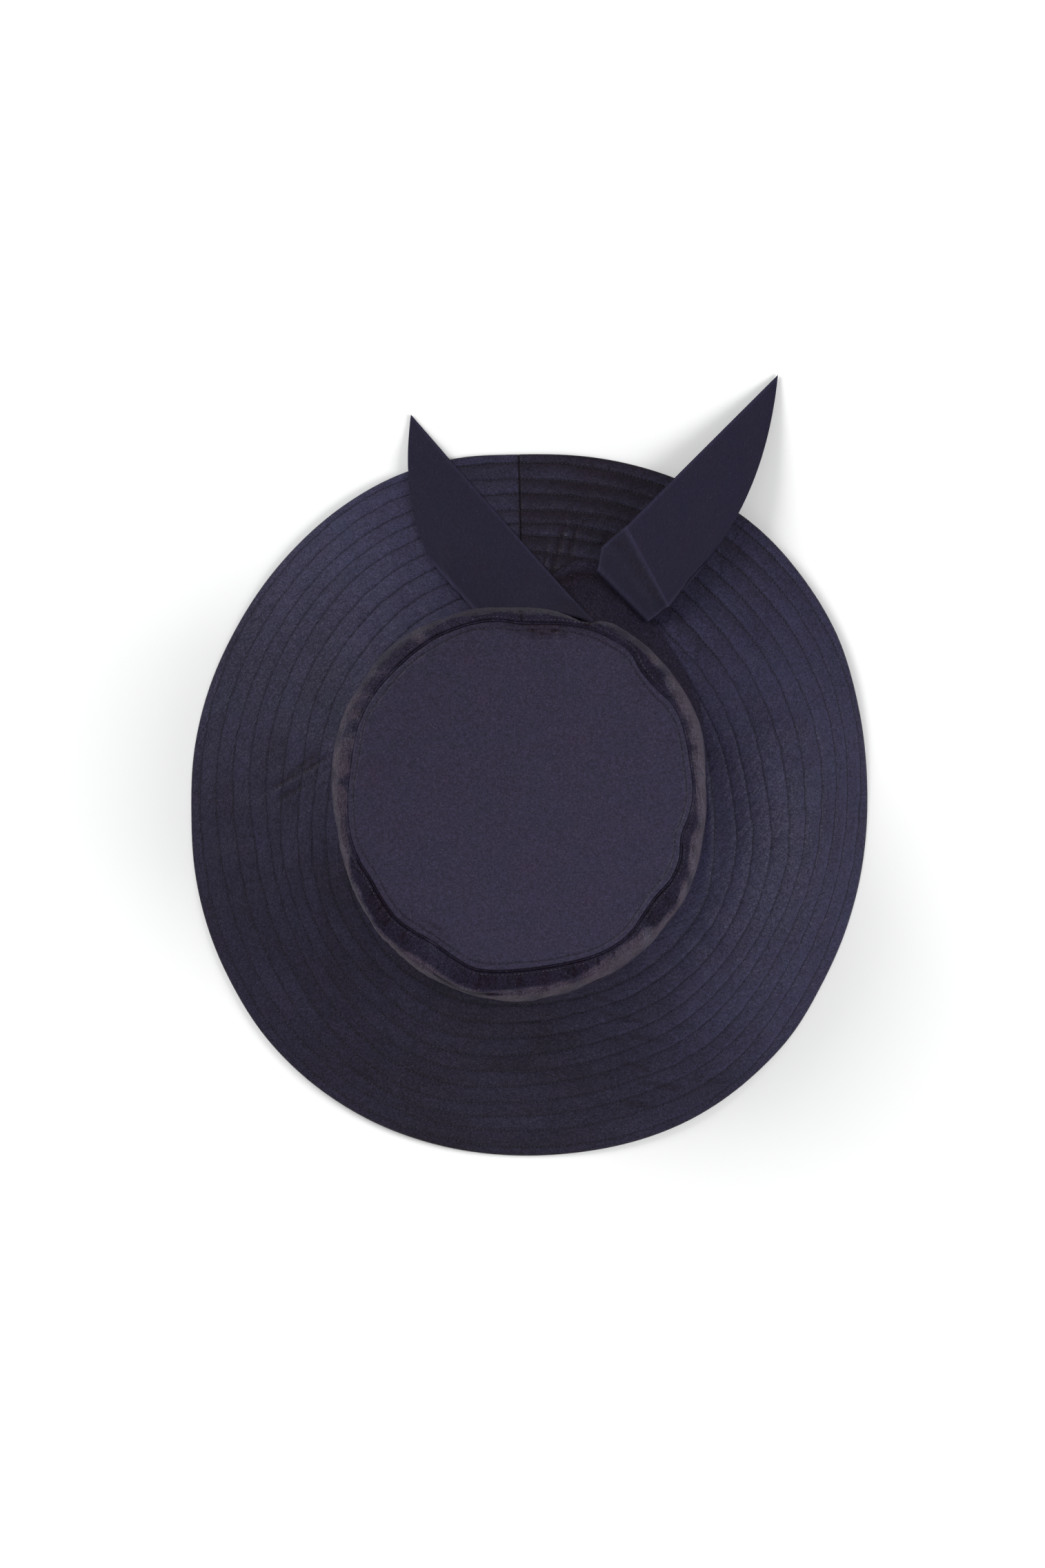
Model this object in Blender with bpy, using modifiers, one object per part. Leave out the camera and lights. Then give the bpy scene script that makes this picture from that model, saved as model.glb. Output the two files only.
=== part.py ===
# Sun hat of dark navy cloth, lying on its brim.
# Metres, +Z up, +Y towards the back seam, origin under the middle of the head opening.
# A clock direction is in degrees seen from above: 0 at the back seam, 90 at +X.
import math
from collections import namedtuple
from functools import lru_cache

import bpy
import bmesh
from mathutils import Vector

# Driving sizes
HEAD_WIDTH = 0.178
HEAD_LENGTH = 0.1875
CROWN_WALL = 0.0016
CROWN_HEIGHT = 0.084
TIP_WIDTH = 0.170
TIP_LENGTH = 0.171
TIP_CLOTH = 0.0016
TIP_DIP = 0.0015
TIP_TO_BACK = 0.003
TIP_TO_RIGHT = 0.002
SEAM_ALLOWANCE = 0.006
BRIM_REACH = 0.0869
BRIM_DROP = 0.036
BRIM_CLOTH = 0.0024
SASH_WIDTH = 0.043
SASH_CLOTH = 0.0012
LEFT_TAIL_LENGTH = 0.149
LEFT_POINT_LENGTH = 0.082
RIGHT_TAIL_LENGTH = 0.140
RIGHT_POINT_LENGTH = 0.112
CREASE_RISE = 0.010
FOLD_RADIUS = 0.0013
TAIL_HANG = 0.030
TAIL_BRIDGE = 0.016
CLEARANCE = 0.0003
TIE_CLEARANCE = 0.0005
TAIL_CLEARANCE = 0.0009

# How the tails lie
LEFT_TAIL_HEADING = -40.2
LEFT_ROOT_INNER_CLOCK = 21.5
LEFT_ROOT_OUTER_CLOCK = -13.0
RIGHT_TAIL_HEADING = 43.6
RIGHT_ROOT_CLOCK = 34.2
RIGHT_ROOT_REACH = 0.43

# Divisions of the meshes
CLOCK_STEPS = 72
BRIM_BANDS = 8
SASH_BANDS = 7
TAIL_STRIPS = 6
TAIL_BANDS = 18
FOLD_TURNS = (90, 45, 0, -45, -90)
TIP_RINGS = (1.0, 0.92, 0.6, 0.25)

# The left tail's rows crowd towards its root by this power
ROW_CROWDING = 1.6

# Where cloth laid on other cloth is tried for touching, as shares of its stand-off
TOUCH_SHARES = (-0.95, -0.75, -0.5, -0.25, 0.0, 0.25, 0.5, 0.75, 0.95)

# Outline by clock direction. crown and tip are shares of their ovals' radii,
# reach is a share of BRIM_REACH, lift of the brim's edge off the surface a share
# of BRIM_DROP, and droop the power that bends the brim's slope.
Direction = namedtuple("Direction", "clock crown tip reach lift droop")
OUTLINE = (
    Direction(0, 1.000, 0.995, 1.043, 0.02, 1.1),
    Direction(30, 1.032, 1.055, 1.060, 0.18, 1.1),
    Direction(60, 1.047, 1.030, 1.020, 0.12, 1.6),
    Direction(90, 1.006, 1.002, 0.972, 0.00, 2.2),
    Direction(120, 1.004, 0.992, 0.968, 0.02, 1.8),
    Direction(150, 0.997, 1.025, 0.994, 0.10, 1.3),
    Direction(180, 1.000, 1.007, 0.953, 0.00, 1.1),
    Direction(210, 0.990, 0.993, 0.994, 0.10, 1.0),
    Direction(240, 0.979, 0.992, 1.007, 0.06, 1.0),
    Direction(270, 0.993, 1.003, 0.976, 0.00, 1.0),
    Direction(300, 1.041, 1.027, 0.962, 0.02, 1.0),
    Direction(330, 1.038, 1.020, 1.018, 0.10, 1.0),
)

# Side wall from its foot to the tip seam. height is a share of CROWN_HEIGHT, and
# flare the share of the way from the tip's outline to the foot's.
Section = namedtuple("Section", "name height flare")
SIDE_WALL = (
    Section("foot", 0.00, 1.00),
    Section("band", 0.25, 1.06),
    Section("belly", 0.50, 1.06),
    Section("upper side", 0.72, 0.95),
    Section("brow", 0.88, 0.72),
    Section("shoulder", 0.96, 0.42),
    Section("tip seam", 1.00, 0.00),
)

# How far the sash's lower edge flares out over the brim, as a share of SASH_WIDTH
Flare = namedtuple("Flare", "clock reach")
SASH_FLARE = (
    Flare(-40, 0.00),
    Flare(-25, 0.00),
    Flare(-14, 0.06),
    Flare(-4, 0.35),
    Flare(6, 0.61),
    Flare(14.5, 0.82),
    Flare(18, 0.78),
    Flare(25, 0.565),
    Flare(34, 0.43),
    Flare(44, 0.27),
    Flare(57, 0.18),
    Flare(70, 0.06),
    Flare(85, 0.00),
    Flare(110, 0.00),
)

# The right tail's root: places along and across its heading, from the outer end of
# its folded edge, as shares of SASH_WIDTH, and rise off the cloth below as a share
# of CREASE_RISE. Its cloth turns under at the folded edge.
Fold = namedtuple("Fold", "name inner_along inner_across outer_along outer_across rise")
RIGHT_ROOT = (
    Fold("crease", 0.63, -1.00, 0.27, 0.06, 1.00),
    Fold("upper slope", 0.44, -1.03, 0.20, 0.04, 0.74),
    Fold("lower slope", 0.25, -1.04, 0.13, 0.03, 0.48),
)
UNDER_LAYER = (
    Fold("folded edge", 0.035, -0.89, 0.00, 0.00, 0.00),
    Fold("under layer", 0.22, -0.87, 0.20, -0.03, 0.00),
    Fold("under end", 0.42, -0.86, 0.40, -0.05, 0.00),
)

# Base colours, linear
Cloth = namedtuple("Cloth", "red green blue")
BRIM_COLOUR = Cloth(0.032, 0.030, 0.052)
SIDE_COLOUR = Cloth(0.040, 0.036, 0.056)
TIP_COLOUR = Cloth(0.036, 0.033, 0.058)
SASH_COLOUR = Cloth(0.036, 0.032, 0.052)
TAIL_COLOUR = Cloth(0.030, 0.028, 0.048)


def read_curve(table, key, column, at):
    """Value of a table's column where its key column reads at, smooth between rows."""
    keys = [getattr(row, key) for row in table]
    values = [getattr(row, column) for row in table]
    if at <= keys[0]:
        return values[0]
    if at >= keys[-1]:
        return values[-1]
    index = max(i for i in range(len(keys) - 1) if keys[i] <= at)
    span = keys[index + 1] - keys[index]
    share = (at - keys[index]) / span
    slopes = []
    for i in (index, index + 1):
        low = max(i - 1, 0)
        high = min(i + 1, len(keys) - 1)
        slopes.append((values[high] - values[low]) / (keys[high] - keys[low]) * span)
    cubic = share ** 3
    square = share ** 2
    return ((2 * cubic - 3 * square + 1) * values[index]
            + (cubic - 2 * square + share) * slopes[0]
            + (3 * square - 2 * cubic) * values[index + 1]
            + (cubic - square) * slopes[1])


@lru_cache(maxsize=None)
def around(clock, column):
    """Value of an outline column at a clock direction."""
    turned = [row._replace(clock=row.clock + 360 * turn) for turn in (-1, 0, 1) for row in OUTLINE]
    return read_curve(turned, "clock", column, clock % 360)


def facing(clock):
    """Level unit vector in a clock direction."""
    angle = math.radians(clock)
    return Vector((math.sin(angle), math.cos(angle), 0))


def clock_of(point):
    """Clock direction of a point, from -180 to 180."""
    return math.degrees(math.atan2(point.x, point.y))


def oval_radius(width, length, clock):
    """Radius of an oval in a clock direction."""
    direction = facing(clock)
    return 1 / math.hypot(direction.x / (width / 2), direction.y / (length / 2))


def crown_radius(clock):
    """Outer face of the side wall at its foot."""
    width = HEAD_WIDTH + 2 * CROWN_WALL
    length = HEAD_LENGTH + 2 * CROWN_WALL
    return oval_radius(width, length, clock) * around(clock, "crown")


def tip_place(clock, share):
    """Level place on the tip panel, at a share of the way from its middle to its edge."""
    middle = Vector((TIP_TO_RIGHT, TIP_TO_BACK, 0))
    radius = oval_radius(TIP_WIDTH, TIP_LENGTH, clock) * around(clock, "tip")
    return middle + facing(clock) * radius * share


def brim_reach(clock):
    """Level distance from the crown's foot to the brim's edge."""
    return BRIM_REACH * around(clock, "reach")


def brim_under(clock, radius):
    """Height of the brim's underside."""
    lift = BRIM_DROP * max(0.0, around(clock, "lift"))
    share = max(0.0, (radius - crown_radius(clock)) / brim_reach(clock))
    return lift + (BRIM_DROP - lift) * (1 - share ** around(clock, "droop"))


def brim_top(clock, radius):
    """Height of the brim's upper face."""
    step = 0.001
    slope = (brim_under(clock, radius) - brim_under(clock, radius + step)) / step
    return brim_under(clock, radius) + BRIM_CLOTH * math.hypot(1, slope)


def crown_foot():
    """Height of the side wall's foot, seated on the brim."""
    return BRIM_DROP + BRIM_CLOTH + CLEARANCE


def side_place(clock, height):
    """Point on the side wall's outer face, at a share of its height."""
    flare = read_curve(SIDE_WALL, "height", "flare", height)
    foot = facing(clock) * crown_radius(clock)
    place = tip_place(clock, 1.0).lerp(foot, flare)
    place.z = crown_foot() + height * CROWN_HEIGHT
    return place


@lru_cache(maxsize=None)
def sash_face(clock):
    """Outer face of the sash where it stands upright, clear of the side wall's belly."""
    places = [side_place(clock, section.height) for section in SIDE_WALL]
    widest = max(math.hypot(place.x, place.y) for place in places)
    return widest + TIE_CLEARANCE + SASH_CLOTH


@lru_cache(maxsize=None)
def sash_reach(clock):
    """Level distance that the sash's lower edge stands out from its upright face."""
    return SASH_WIDTH * max(0.0, read_curve(SASH_FLARE, "clock", "reach", clock))


def bend_length(rise, reach):
    """Length of the sash's bent section with its two legs."""
    steps = 24
    length = 0.0
    last = (0.0, rise)
    for i in range(1, steps + 1):
        share = i / steps
        here = (reach * share ** 2, rise * (1 - share) ** 2)
        length += math.hypot(here[0] - last[0], here[1] - last[1])
        last = here
    return length


@lru_cache(maxsize=None)
def sash_rise(reach):
    """How high the sash climbs the crown, so that its section keeps its width."""
    low, high = 0.0, SASH_WIDTH
    for _ in range(30):
        middle = (low + high) / 2
        if bend_length(middle, reach) < SASH_WIDTH:
            low = middle
        else:
            high = middle
    return low


def sash_level(clock, share):
    """Height of the sash's outer face, from its upper edge at 0 to its lower edge at 1."""
    stand_off = TIE_CLEARANCE + SASH_CLOTH
    reach = sash_reach(clock)
    heel = brim_top(clock, sash_face(clock)) + stand_off
    hem = brim_top(clock, sash_face(clock) + reach) + stand_off
    return heel + sash_rise(reach) * (1 - share) ** 2 + (hem - heel) * share ** 2


def sash_place(clock, share):
    """Point on the sash's outer face."""
    place = facing(clock) * (sash_face(clock) + sash_reach(clock) * share ** 2)
    place.z = sash_level(clock, share)
    return place


def sash_height(clock, radius):
    """Height of the sash's upper face, fading beyond its lower edge as cloth bridges it."""
    run = radius - sash_face(clock)
    reach = sash_reach(clock)
    if run > reach:
        hem = sash_level(clock, 1.0) - brim_top(clock, sash_face(clock) + reach)
        return brim_top(clock, radius) + hem * (1 - (run - reach) / TAIL_BRIDGE)
    if reach == 0:
        return sash_level(clock, 0.0)
    return sash_level(clock, math.sqrt(max(run, 0.0) / reach))


def support_height(clock, radius):
    """Height of whatever lies under the tie: sash, brim or surface."""
    edge = crown_radius(clock) + brim_reach(clock)
    if radius > edge:
        share = min(1.0, (radius - edge) / TAIL_HANG)
        return brim_top(clock, edge) * (1 - share) ** 2 * (1 + 2 * share)
    return max(brim_top(clock, radius), sash_height(clock, radius))


def laid_on(place, rise=0.0):
    """Middle of the tie's cloth, laid clear of all that is within reach below it."""
    stand_off = TAIL_CLEARANCE + SASH_CLOTH / 2
    clock = clock_of(place)
    radius = math.hypot(place.x, place.y)
    heights = []
    for share in TOUCH_SHARES:
        lift = stand_off * math.sqrt(1 - share ** 2)
        heights.append(support_height(clock, radius + stand_off * share) + lift)
    return Vector((place.x, place.y, max(heights) + rise))


def point_share(across, point_length):
    """How far back from the tip the cut end lies, at a share of the tie's width."""
    return point_length * (1 - math.sqrt(1 - across))


def left_tail_rows():
    """Rows of points across the left tail, from its cut end to its root on the crown."""
    along = facing(LEFT_TAIL_HEADING)
    across = facing(LEFT_TAIL_HEADING - 90)
    stand_off = TAIL_CLEARANCE + SASH_CLOTH / 2
    root = facing(LEFT_ROOT_INNER_CLOCK) * (sash_face(LEFT_ROOT_INNER_CLOCK) + stand_off)
    tip = root + along * LEFT_TAIL_LENGTH
    rows = []
    for band in range(TAIL_BANDS + 1):
        inward = 1 - (1 - band / TAIL_BANDS) ** ROW_CROWDING
        row = []
        for strip in range(TAIL_STRIPS + 1):
            share = strip / TAIL_STRIPS
            cut = tip + across * SASH_WIDTH * share
            cut -= along * point_share(share, LEFT_POINT_LENGTH)
            clock = LEFT_ROOT_INNER_CLOCK + (LEFT_ROOT_OUTER_CLOCK - LEFT_ROOT_INNER_CLOCK) * share
            foot = facing(clock) * (sash_face(clock) + stand_off)
            row.append(laid_on(cut.lerp(foot, inward)))
        rows.append(row)
    return rows


def right_root_point(fold, share):
    """Point on one fold line of the right tail's root."""
    along = facing(RIGHT_TAIL_HEADING)
    across = facing(RIGHT_TAIL_HEADING + 90)
    corner_radius = crown_radius(RIGHT_ROOT_CLOCK) + RIGHT_ROOT_REACH * SASH_WIDTH
    corner = facing(RIGHT_ROOT_CLOCK) * corner_radius
    inner = along * fold.inner_along + across * fold.inner_across
    outer = along * fold.outer_along + across * fold.outer_across
    return laid_on(corner + inner.lerp(outer, share) * SASH_WIDTH, fold.rise * CREASE_RISE)


def right_tail_rows():
    """Rows of points across the right tail, from its cut end over the crease to the fold."""
    along = facing(RIGHT_TAIL_HEADING)
    across = facing(RIGHT_TAIL_HEADING + 90)
    crease = RIGHT_ROOT[0]
    corner = right_root_point(crease, 0.0) - along * crease.inner_along * SASH_WIDTH
    tip = corner + along * RIGHT_TAIL_LENGTH
    tip.z = TAIL_CLEARANCE + SASH_CLOTH / 2
    rows = []
    for band in range(TAIL_BANDS):
        inward = band / TAIL_BANDS
        row = []
        for strip in range(TAIL_STRIPS + 1):
            share = strip / TAIL_STRIPS
            ridge = right_root_point(crease, share)
            cut = tip + across * SASH_WIDTH * share
            cut -= along * point_share(share, RIGHT_POINT_LENGTH)
            way = (cut - ridge).dot(along) / (tip - ridge).dot(along)
            cut.z = ridge.z + (tip.z - ridge.z) * way
            place = cut.lerp(ridge, inward)
            place.z = max(place.z, laid_on(place).z)
            row.append(place)
        rows.append(row)
    shares = [strip / TAIL_STRIPS for strip in range(TAIL_STRIPS + 1)]
    for fold in RIGHT_ROOT:
        rows.append([right_root_point(fold, share) for share in shares])
    for turn in FOLD_TURNS:
        bend = -along * FOLD_RADIUS * math.cos(math.radians(turn))
        bend.z = FOLD_RADIUS * (1 + math.sin(math.radians(turn)))
        rows.append([right_root_point(UNDER_LAYER[0], share) + bend for share in shares])
    for fold in UNDER_LAYER[1:]:
        rows.append([right_root_point(fold, share) for share in shares])
    return rows


def cloth_material(name, colour):
    """Smooth dark cloth."""
    material = bpy.data.materials.new(name)
    material.use_nodes = True
    surface = material.node_tree.nodes["Principled BSDF"]
    surface.inputs["Base Color"].default_value = (*colour, 1)
    surface.inputs["Roughness"].default_value = 0.6
    surface.inputs["Metallic"].default_value = 0.0
    return material


def lofted_cloth(name, rows, closed, thickness, side, colour):
    """Sheet lofted through rows of points, thickened to one side (1, 0 or -1)."""
    build = bmesh.new()
    loops = [[build.verts.new(point) for point in row] for row in rows]
    for row, after in zip(loops, loops[1:]):
        count = len(row)
        for i in range(count if closed else count - 1):
            j = (i + 1) % count
            build.faces.new((row[i], row[j], after[j], after[i]))
    mesh = bpy.data.meshes.new(name)
    build.to_mesh(mesh)
    build.free()
    return finish_cloth(name, mesh, thickness, side, colour)


def finish_cloth(name, mesh, thickness, side, colour):
    """Object for a sheet's mesh, given its thickness and its material."""
    thing = bpy.data.objects.new(name, mesh)
    hat.objects.link(thing)
    mesh.materials.append(cloth_material(name, colour))
    mesh.shade_smooth()
    shell = thing.modifiers.new("Cloth", "SOLIDIFY")
    shell.thickness = thickness
    shell.offset = side
    shell.use_even_offset = True
    return thing


def all_clocks():
    """Clock directions of the mesh's spokes."""
    return [360 * i / CLOCK_STEPS for i in range(CLOCK_STEPS)]


def signed(clock):
    """The same direction between -180 and 180."""
    return clock - 360 if clock > 180 else clock


def make_brim():
    """Brim from the side wall's inner face out to its edge, thickened upward."""
    rows = []
    for band in range(-1, BRIM_BANDS + 1):
        row = []
        for clock in all_clocks():
            run = -CROWN_WALL if band < 0 else brim_reach(clock) * band / BRIM_BANDS
            radius = crown_radius(clock) + run
            place = facing(clock) * radius
            place.z = brim_under(clock, radius)
            row.append(place)
        rows.append(row)
    return lofted_cloth("brim", rows, True, BRIM_CLOTH, 1, BRIM_COLOUR)


def make_crown_side():
    """Side wall, with its seam allowance turned in under the tip, thickened inward."""
    rows = [[side_place(clock, section.height) for clock in all_clocks()] for section in SIDE_WALL]
    turned_in = []
    for clock in all_clocks():
        place = tip_place(clock, 1.0) - facing(clock) * SEAM_ALLOWANCE
        place.z = crown_foot() + CROWN_HEIGHT
        turned_in.append(place)
    rows.append(turned_in)
    rows.reverse()
    return lofted_cloth("crown_side", rows, True, CROWN_WALL, -1, SIDE_COLOUR)


def make_crown_tip():
    """Oval tip panel, dipping a little in the middle, seated on the seam allowance."""
    build = bmesh.new()
    seat = crown_foot() + CROWN_HEIGHT + CLEARANCE
    rings = []
    for share in TIP_RINGS:
        ring = []
        for clock in all_clocks():
            place = tip_place(clock, share)
            place.z = seat - TIP_DIP * (1 - share ** 2) ** 2
            ring.append(build.verts.new(place))
        rings.append(ring)
    for ring, inner in zip(rings, rings[1:]):
        for i in range(CLOCK_STEPS):
            j = (i + 1) % CLOCK_STEPS
            build.faces.new((ring[j], ring[i], inner[i], inner[j]))
    build.faces.new(list(reversed(rings[-1])))
    bmesh.ops.recalc_face_normals(build, faces=build.faces)
    mesh = bpy.data.meshes.new("crown_tip")
    build.to_mesh(mesh)
    build.free()
    return finish_cloth("crown_tip", mesh, TIP_CLOTH, 1, TIP_COLOUR)


def make_sash():
    """Sash round the crown's foot, thickened towards the crown and brim."""
    rows = []
    for band in range(SASH_BANDS + 1):
        share = band / SASH_BANDS
        rows.append([sash_place(signed(clock), share) for clock in all_clocks()])
    return lofted_cloth("sash", rows, True, SASH_CLOTH, -1, SASH_COLOUR)


def make_left_tail():
    """Pointed end that lies to the back left."""
    return lofted_cloth("left_tail", left_tail_rows(), False, SASH_CLOTH, 0, TAIL_COLOUR)


def make_right_tail():
    """Pointed end that lies to the back right."""
    return lofted_cloth("right_tail", right_tail_rows(), False, SASH_CLOTH, 0, TAIL_COLOUR)


for old in list(bpy.data.objects):
    bpy.data.objects.remove(old, do_unlink=True)
hat = bpy.data.collections.new("sun_hat")
bpy.context.scene.collection.children.link(hat)
make_brim()
make_crown_side()
make_crown_tip()
make_sash()
make_left_tail()
make_right_tail()
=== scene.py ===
# Sun hat: cloth, stitching and finish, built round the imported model
import math
import bpy
import numpy as np
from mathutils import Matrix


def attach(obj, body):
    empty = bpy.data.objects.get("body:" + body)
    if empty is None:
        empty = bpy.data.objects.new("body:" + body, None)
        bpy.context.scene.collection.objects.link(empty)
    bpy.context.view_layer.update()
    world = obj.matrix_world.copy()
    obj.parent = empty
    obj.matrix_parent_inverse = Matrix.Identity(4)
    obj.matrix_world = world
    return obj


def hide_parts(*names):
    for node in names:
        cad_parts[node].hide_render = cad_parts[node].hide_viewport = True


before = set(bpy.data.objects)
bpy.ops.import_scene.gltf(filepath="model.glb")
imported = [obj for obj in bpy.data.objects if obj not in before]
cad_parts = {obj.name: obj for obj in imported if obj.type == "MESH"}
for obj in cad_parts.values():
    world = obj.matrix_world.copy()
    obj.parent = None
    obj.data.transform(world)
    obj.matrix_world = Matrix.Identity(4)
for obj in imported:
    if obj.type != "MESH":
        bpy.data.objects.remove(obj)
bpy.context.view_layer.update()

# Pattern of the hat, as in the CAD: metres, clock directions in degrees from the back seam towards +X
hatPattern = {
    "headWidth": 0.178,
    "headLength": 0.1875,
    "crownWall": 0.0016,
    "crownHeight": 0.084,
    "tipWidth": 0.170,
    "tipLength": 0.171,
    "tipCloth": 0.0016,
    "tipDip": 0.0015,
    "tipMiddle": (0.002, 0.003),
    "brimReach": 0.0869,
    "brimDrop": 0.036,
    "brimCloth": 0.0024,
    "sashWidth": 0.043,
    "sashCloth": 0.0012,
    "clearance": 0.0003,
    "tieClearance": 0.0005,
    "tailClearance": 0.0009,
    "tailHang": 0.030,
    "tailBridge": 0.016,
}

# clock: crown, tip, reach, lift, droop
outline = {
    0: (1.000, 0.995, 1.043, 0.02, 1.1),
    30: (1.032, 1.055, 1.060, 0.18, 1.1),
    60: (1.047, 1.030, 1.020, 0.12, 1.6),
    90: (1.006, 1.002, 0.972, 0.00, 2.2),
    120: (1.004, 0.992, 0.968, 0.02, 1.8),
    150: (0.997, 1.025, 0.994, 0.10, 1.3),
    180: (1.000, 1.007, 0.953, 0.00, 1.1),
    210: (0.990, 0.993, 0.994, 0.10, 1.0),
    240: (0.979, 0.992, 1.007, 0.06, 1.0),
    270: (0.993, 1.003, 0.976, 0.00, 1.0),
    300: (1.041, 1.027, 0.962, 0.02, 1.0),
    330: (1.038, 1.020, 1.018, 0.10, 1.0),
}
crownColumn, tipColumn, reachColumn, liftColumn, droopColumn = range(5)
# length of one degree round a circle of radius 1
degreeArc = 0.01745


def readRound(table, clocks):
    # a table keyed by evenly spaced clock directions, read smoothly all the way round
    values = np.array([table[key] for key in sorted(table)], float)
    count = len(values)
    turns = np.asarray(clocks, float) / 360 * count
    index = np.floor(turns).astype(int)
    share = turns - index
    if values.ndim > 1:
        share = share[..., None]
    before, here, after, beyond = (values[(index + step) % count] for step in (-1, 0, 1, 2))
    leaving = (after - before) / 2
    arriving = (beyond - here) / 2
    cube, square = share ** 3, share ** 2
    return ((2 * cube - 3 * square + 1) * here + (cube - 2 * square + share) * leaving
            + (3 * square - 2 * cube) * after + (cube - square) * arriving)


def readTable(table, at):
    # a dictionary of key: value, read smoothly between its keys and held beyond its ends
    keys = np.array(sorted(table), float)
    values = np.array([table[key] for key in sorted(table)], float)
    at = np.clip(np.asarray(at, float), keys[0], keys[-1])
    slopes = np.gradient(values, keys)
    slopes[1:-1] = (values[2:] - values[:-2]) / (keys[2:] - keys[:-2])
    index = np.clip(np.searchsorted(keys, at, side="right") - 1, 0, len(keys) - 2)
    span = keys[index + 1] - keys[index]
    share = (at - keys[index]) / span
    cube, square = share ** 3, share ** 2
    return ((2 * cube - 3 * square + 1) * values[index] + (cube - 2 * square + share) * slopes[index] * span
            + (3 * square - 2 * cube) * values[index + 1] + (cube - square) * slopes[index + 1] * span)


def around(clocks, column):
    return readRound({clock: row[column] for clock, row in outline.items()}, clocks)


def facing(clocks):
    angle = np.radians(clocks)
    return np.stack([np.sin(angle), np.cos(angle)], -1)


def ovalRadius(width, length, clocks):
    way = facing(clocks)
    return 1 / np.hypot(way[..., 0] / (width / 2), way[..., 1] / (length / 2))


def crownRadius(clocks):
    width = hatPattern["headWidth"] + 2 * hatPattern["crownWall"]
    length = hatPattern["headLength"] + 2 * hatPattern["crownWall"]
    return ovalRadius(width, length, clocks) * around(clocks, crownColumn)


def brimReach(clocks):
    return hatPattern["brimReach"] * around(clocks, reachColumn)


def brimUnder(clocks, radius):
    drop = hatPattern["brimDrop"]
    lift = drop * np.maximum(0, around(clocks, liftColumn))
    share = np.maximum(0, (radius - crownRadius(clocks)) / brimReach(clocks))
    return lift + (drop - lift) * (1 - share ** around(clocks, droopColumn))


def brimSlope(clocks, radius):
    step = 0.001
    return (brimUnder(clocks, radius) - brimUnder(clocks, radius + step)) / step


def brimTop(clocks, radius):
    return brimUnder(clocks, radius) + hatPattern["brimCloth"] * np.hypot(1, brimSlope(clocks, radius))


crownFoot = hatPattern["brimDrop"] + hatPattern["brimCloth"] + hatPattern["clearance"]
tipSeat = crownFoot + hatPattern["crownHeight"] + hatPattern["clearance"]


def level(place, height):
    height = np.broadcast_to(np.asarray(height, float), place.shape[:-1])
    return np.concatenate([place, height[..., None]], -1)


def signed(clocks):
    return (np.asarray(clocks) + 180) % 360 - 180


def clockOf(flat):
    return np.degrees(np.arctan2(flat[..., 0], flat[..., 1]))


def bump(distance, width):
    return np.exp(-(distance / width) ** 2)


def smoothStep(low, high, at):
    share = np.clip((at - low) / (high - low), 0, 1)
    return share * share * (3 - 2 * share)


def edgeRound(gap, radius):
    # 1 at a rounded edge, falling to 0 one radius in from it
    return 1 - np.sqrt(1 - np.clip(1 - gap / radius, 0, 1) ** 2)


def travelled(places):
    # length run along each row of points, from its first
    run = np.linalg.norm(np.diff(places, axis=1), axis=2)
    return np.hstack([np.zeros((len(places), 1)), np.cumsum(run, 1)])


# Uneven ripples that close on themselves round the hat; the seed keeps them the same on every run
def ripples(clocks, across, seed, waves=(9, 31), drift=3.0):
    rng = np.random.default_rng(seed)
    total = np.zeros(np.broadcast(clocks, across).shape)
    for number in range(14):
        count = int(rng.integers(waves[0], waves[1] + 1))
        lean, phase = rng.uniform(-drift, drift), rng.uniform(0, 2 * math.pi)
        total = total + np.sin(np.radians(clocks) * count + across * lean + phase)
    return total / math.sqrt(14)


def selectOnly(piece):
    if bpy.context.object and bpy.context.object.mode != "OBJECT":
        bpy.ops.object.mode_set(mode="OBJECT")
    bpy.ops.object.select_all(action="DESELECT")
    piece.select_set(True)
    bpy.context.view_layer.objects.active = piece


def setPlaces(piece, places):
    piece.data.vertices.foreach_set("co", np.ascontiguousarray(places, np.float32).reshape(-1))
    piece.data.update()


def setAttribute(piece, name, values):
    layer = piece.data.attributes.new(name, "FLOAT", "POINT")
    layer.data.foreach_set("value", np.ascontiguousarray(values, np.float32).reshape(-1))


def addGrid(name, alongX, alongY, size, places):
    bpy.ops.object.select_all(action="DESELECT")
    bpy.ops.mesh.primitive_grid_add(x_subdivisions=alongX, y_subdivisions=alongY, size=size)
    piece = bpy.context.object
    piece.name = piece.data.name = name
    setPlaces(piece, places)
    return piece


def setUv(piece, first, second):
    corners = np.zeros(len(piece.data.loops), int)
    piece.data.loops.foreach_get("vertex_index", corners)
    uv = np.stack([first.reshape(-1)[corners], second.reshape(-1)[corners]], -1)
    piece.data.uv_layers[0].data.foreach_set("uv", np.ascontiguousarray(uv, np.float32).reshape(-1))


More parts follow.
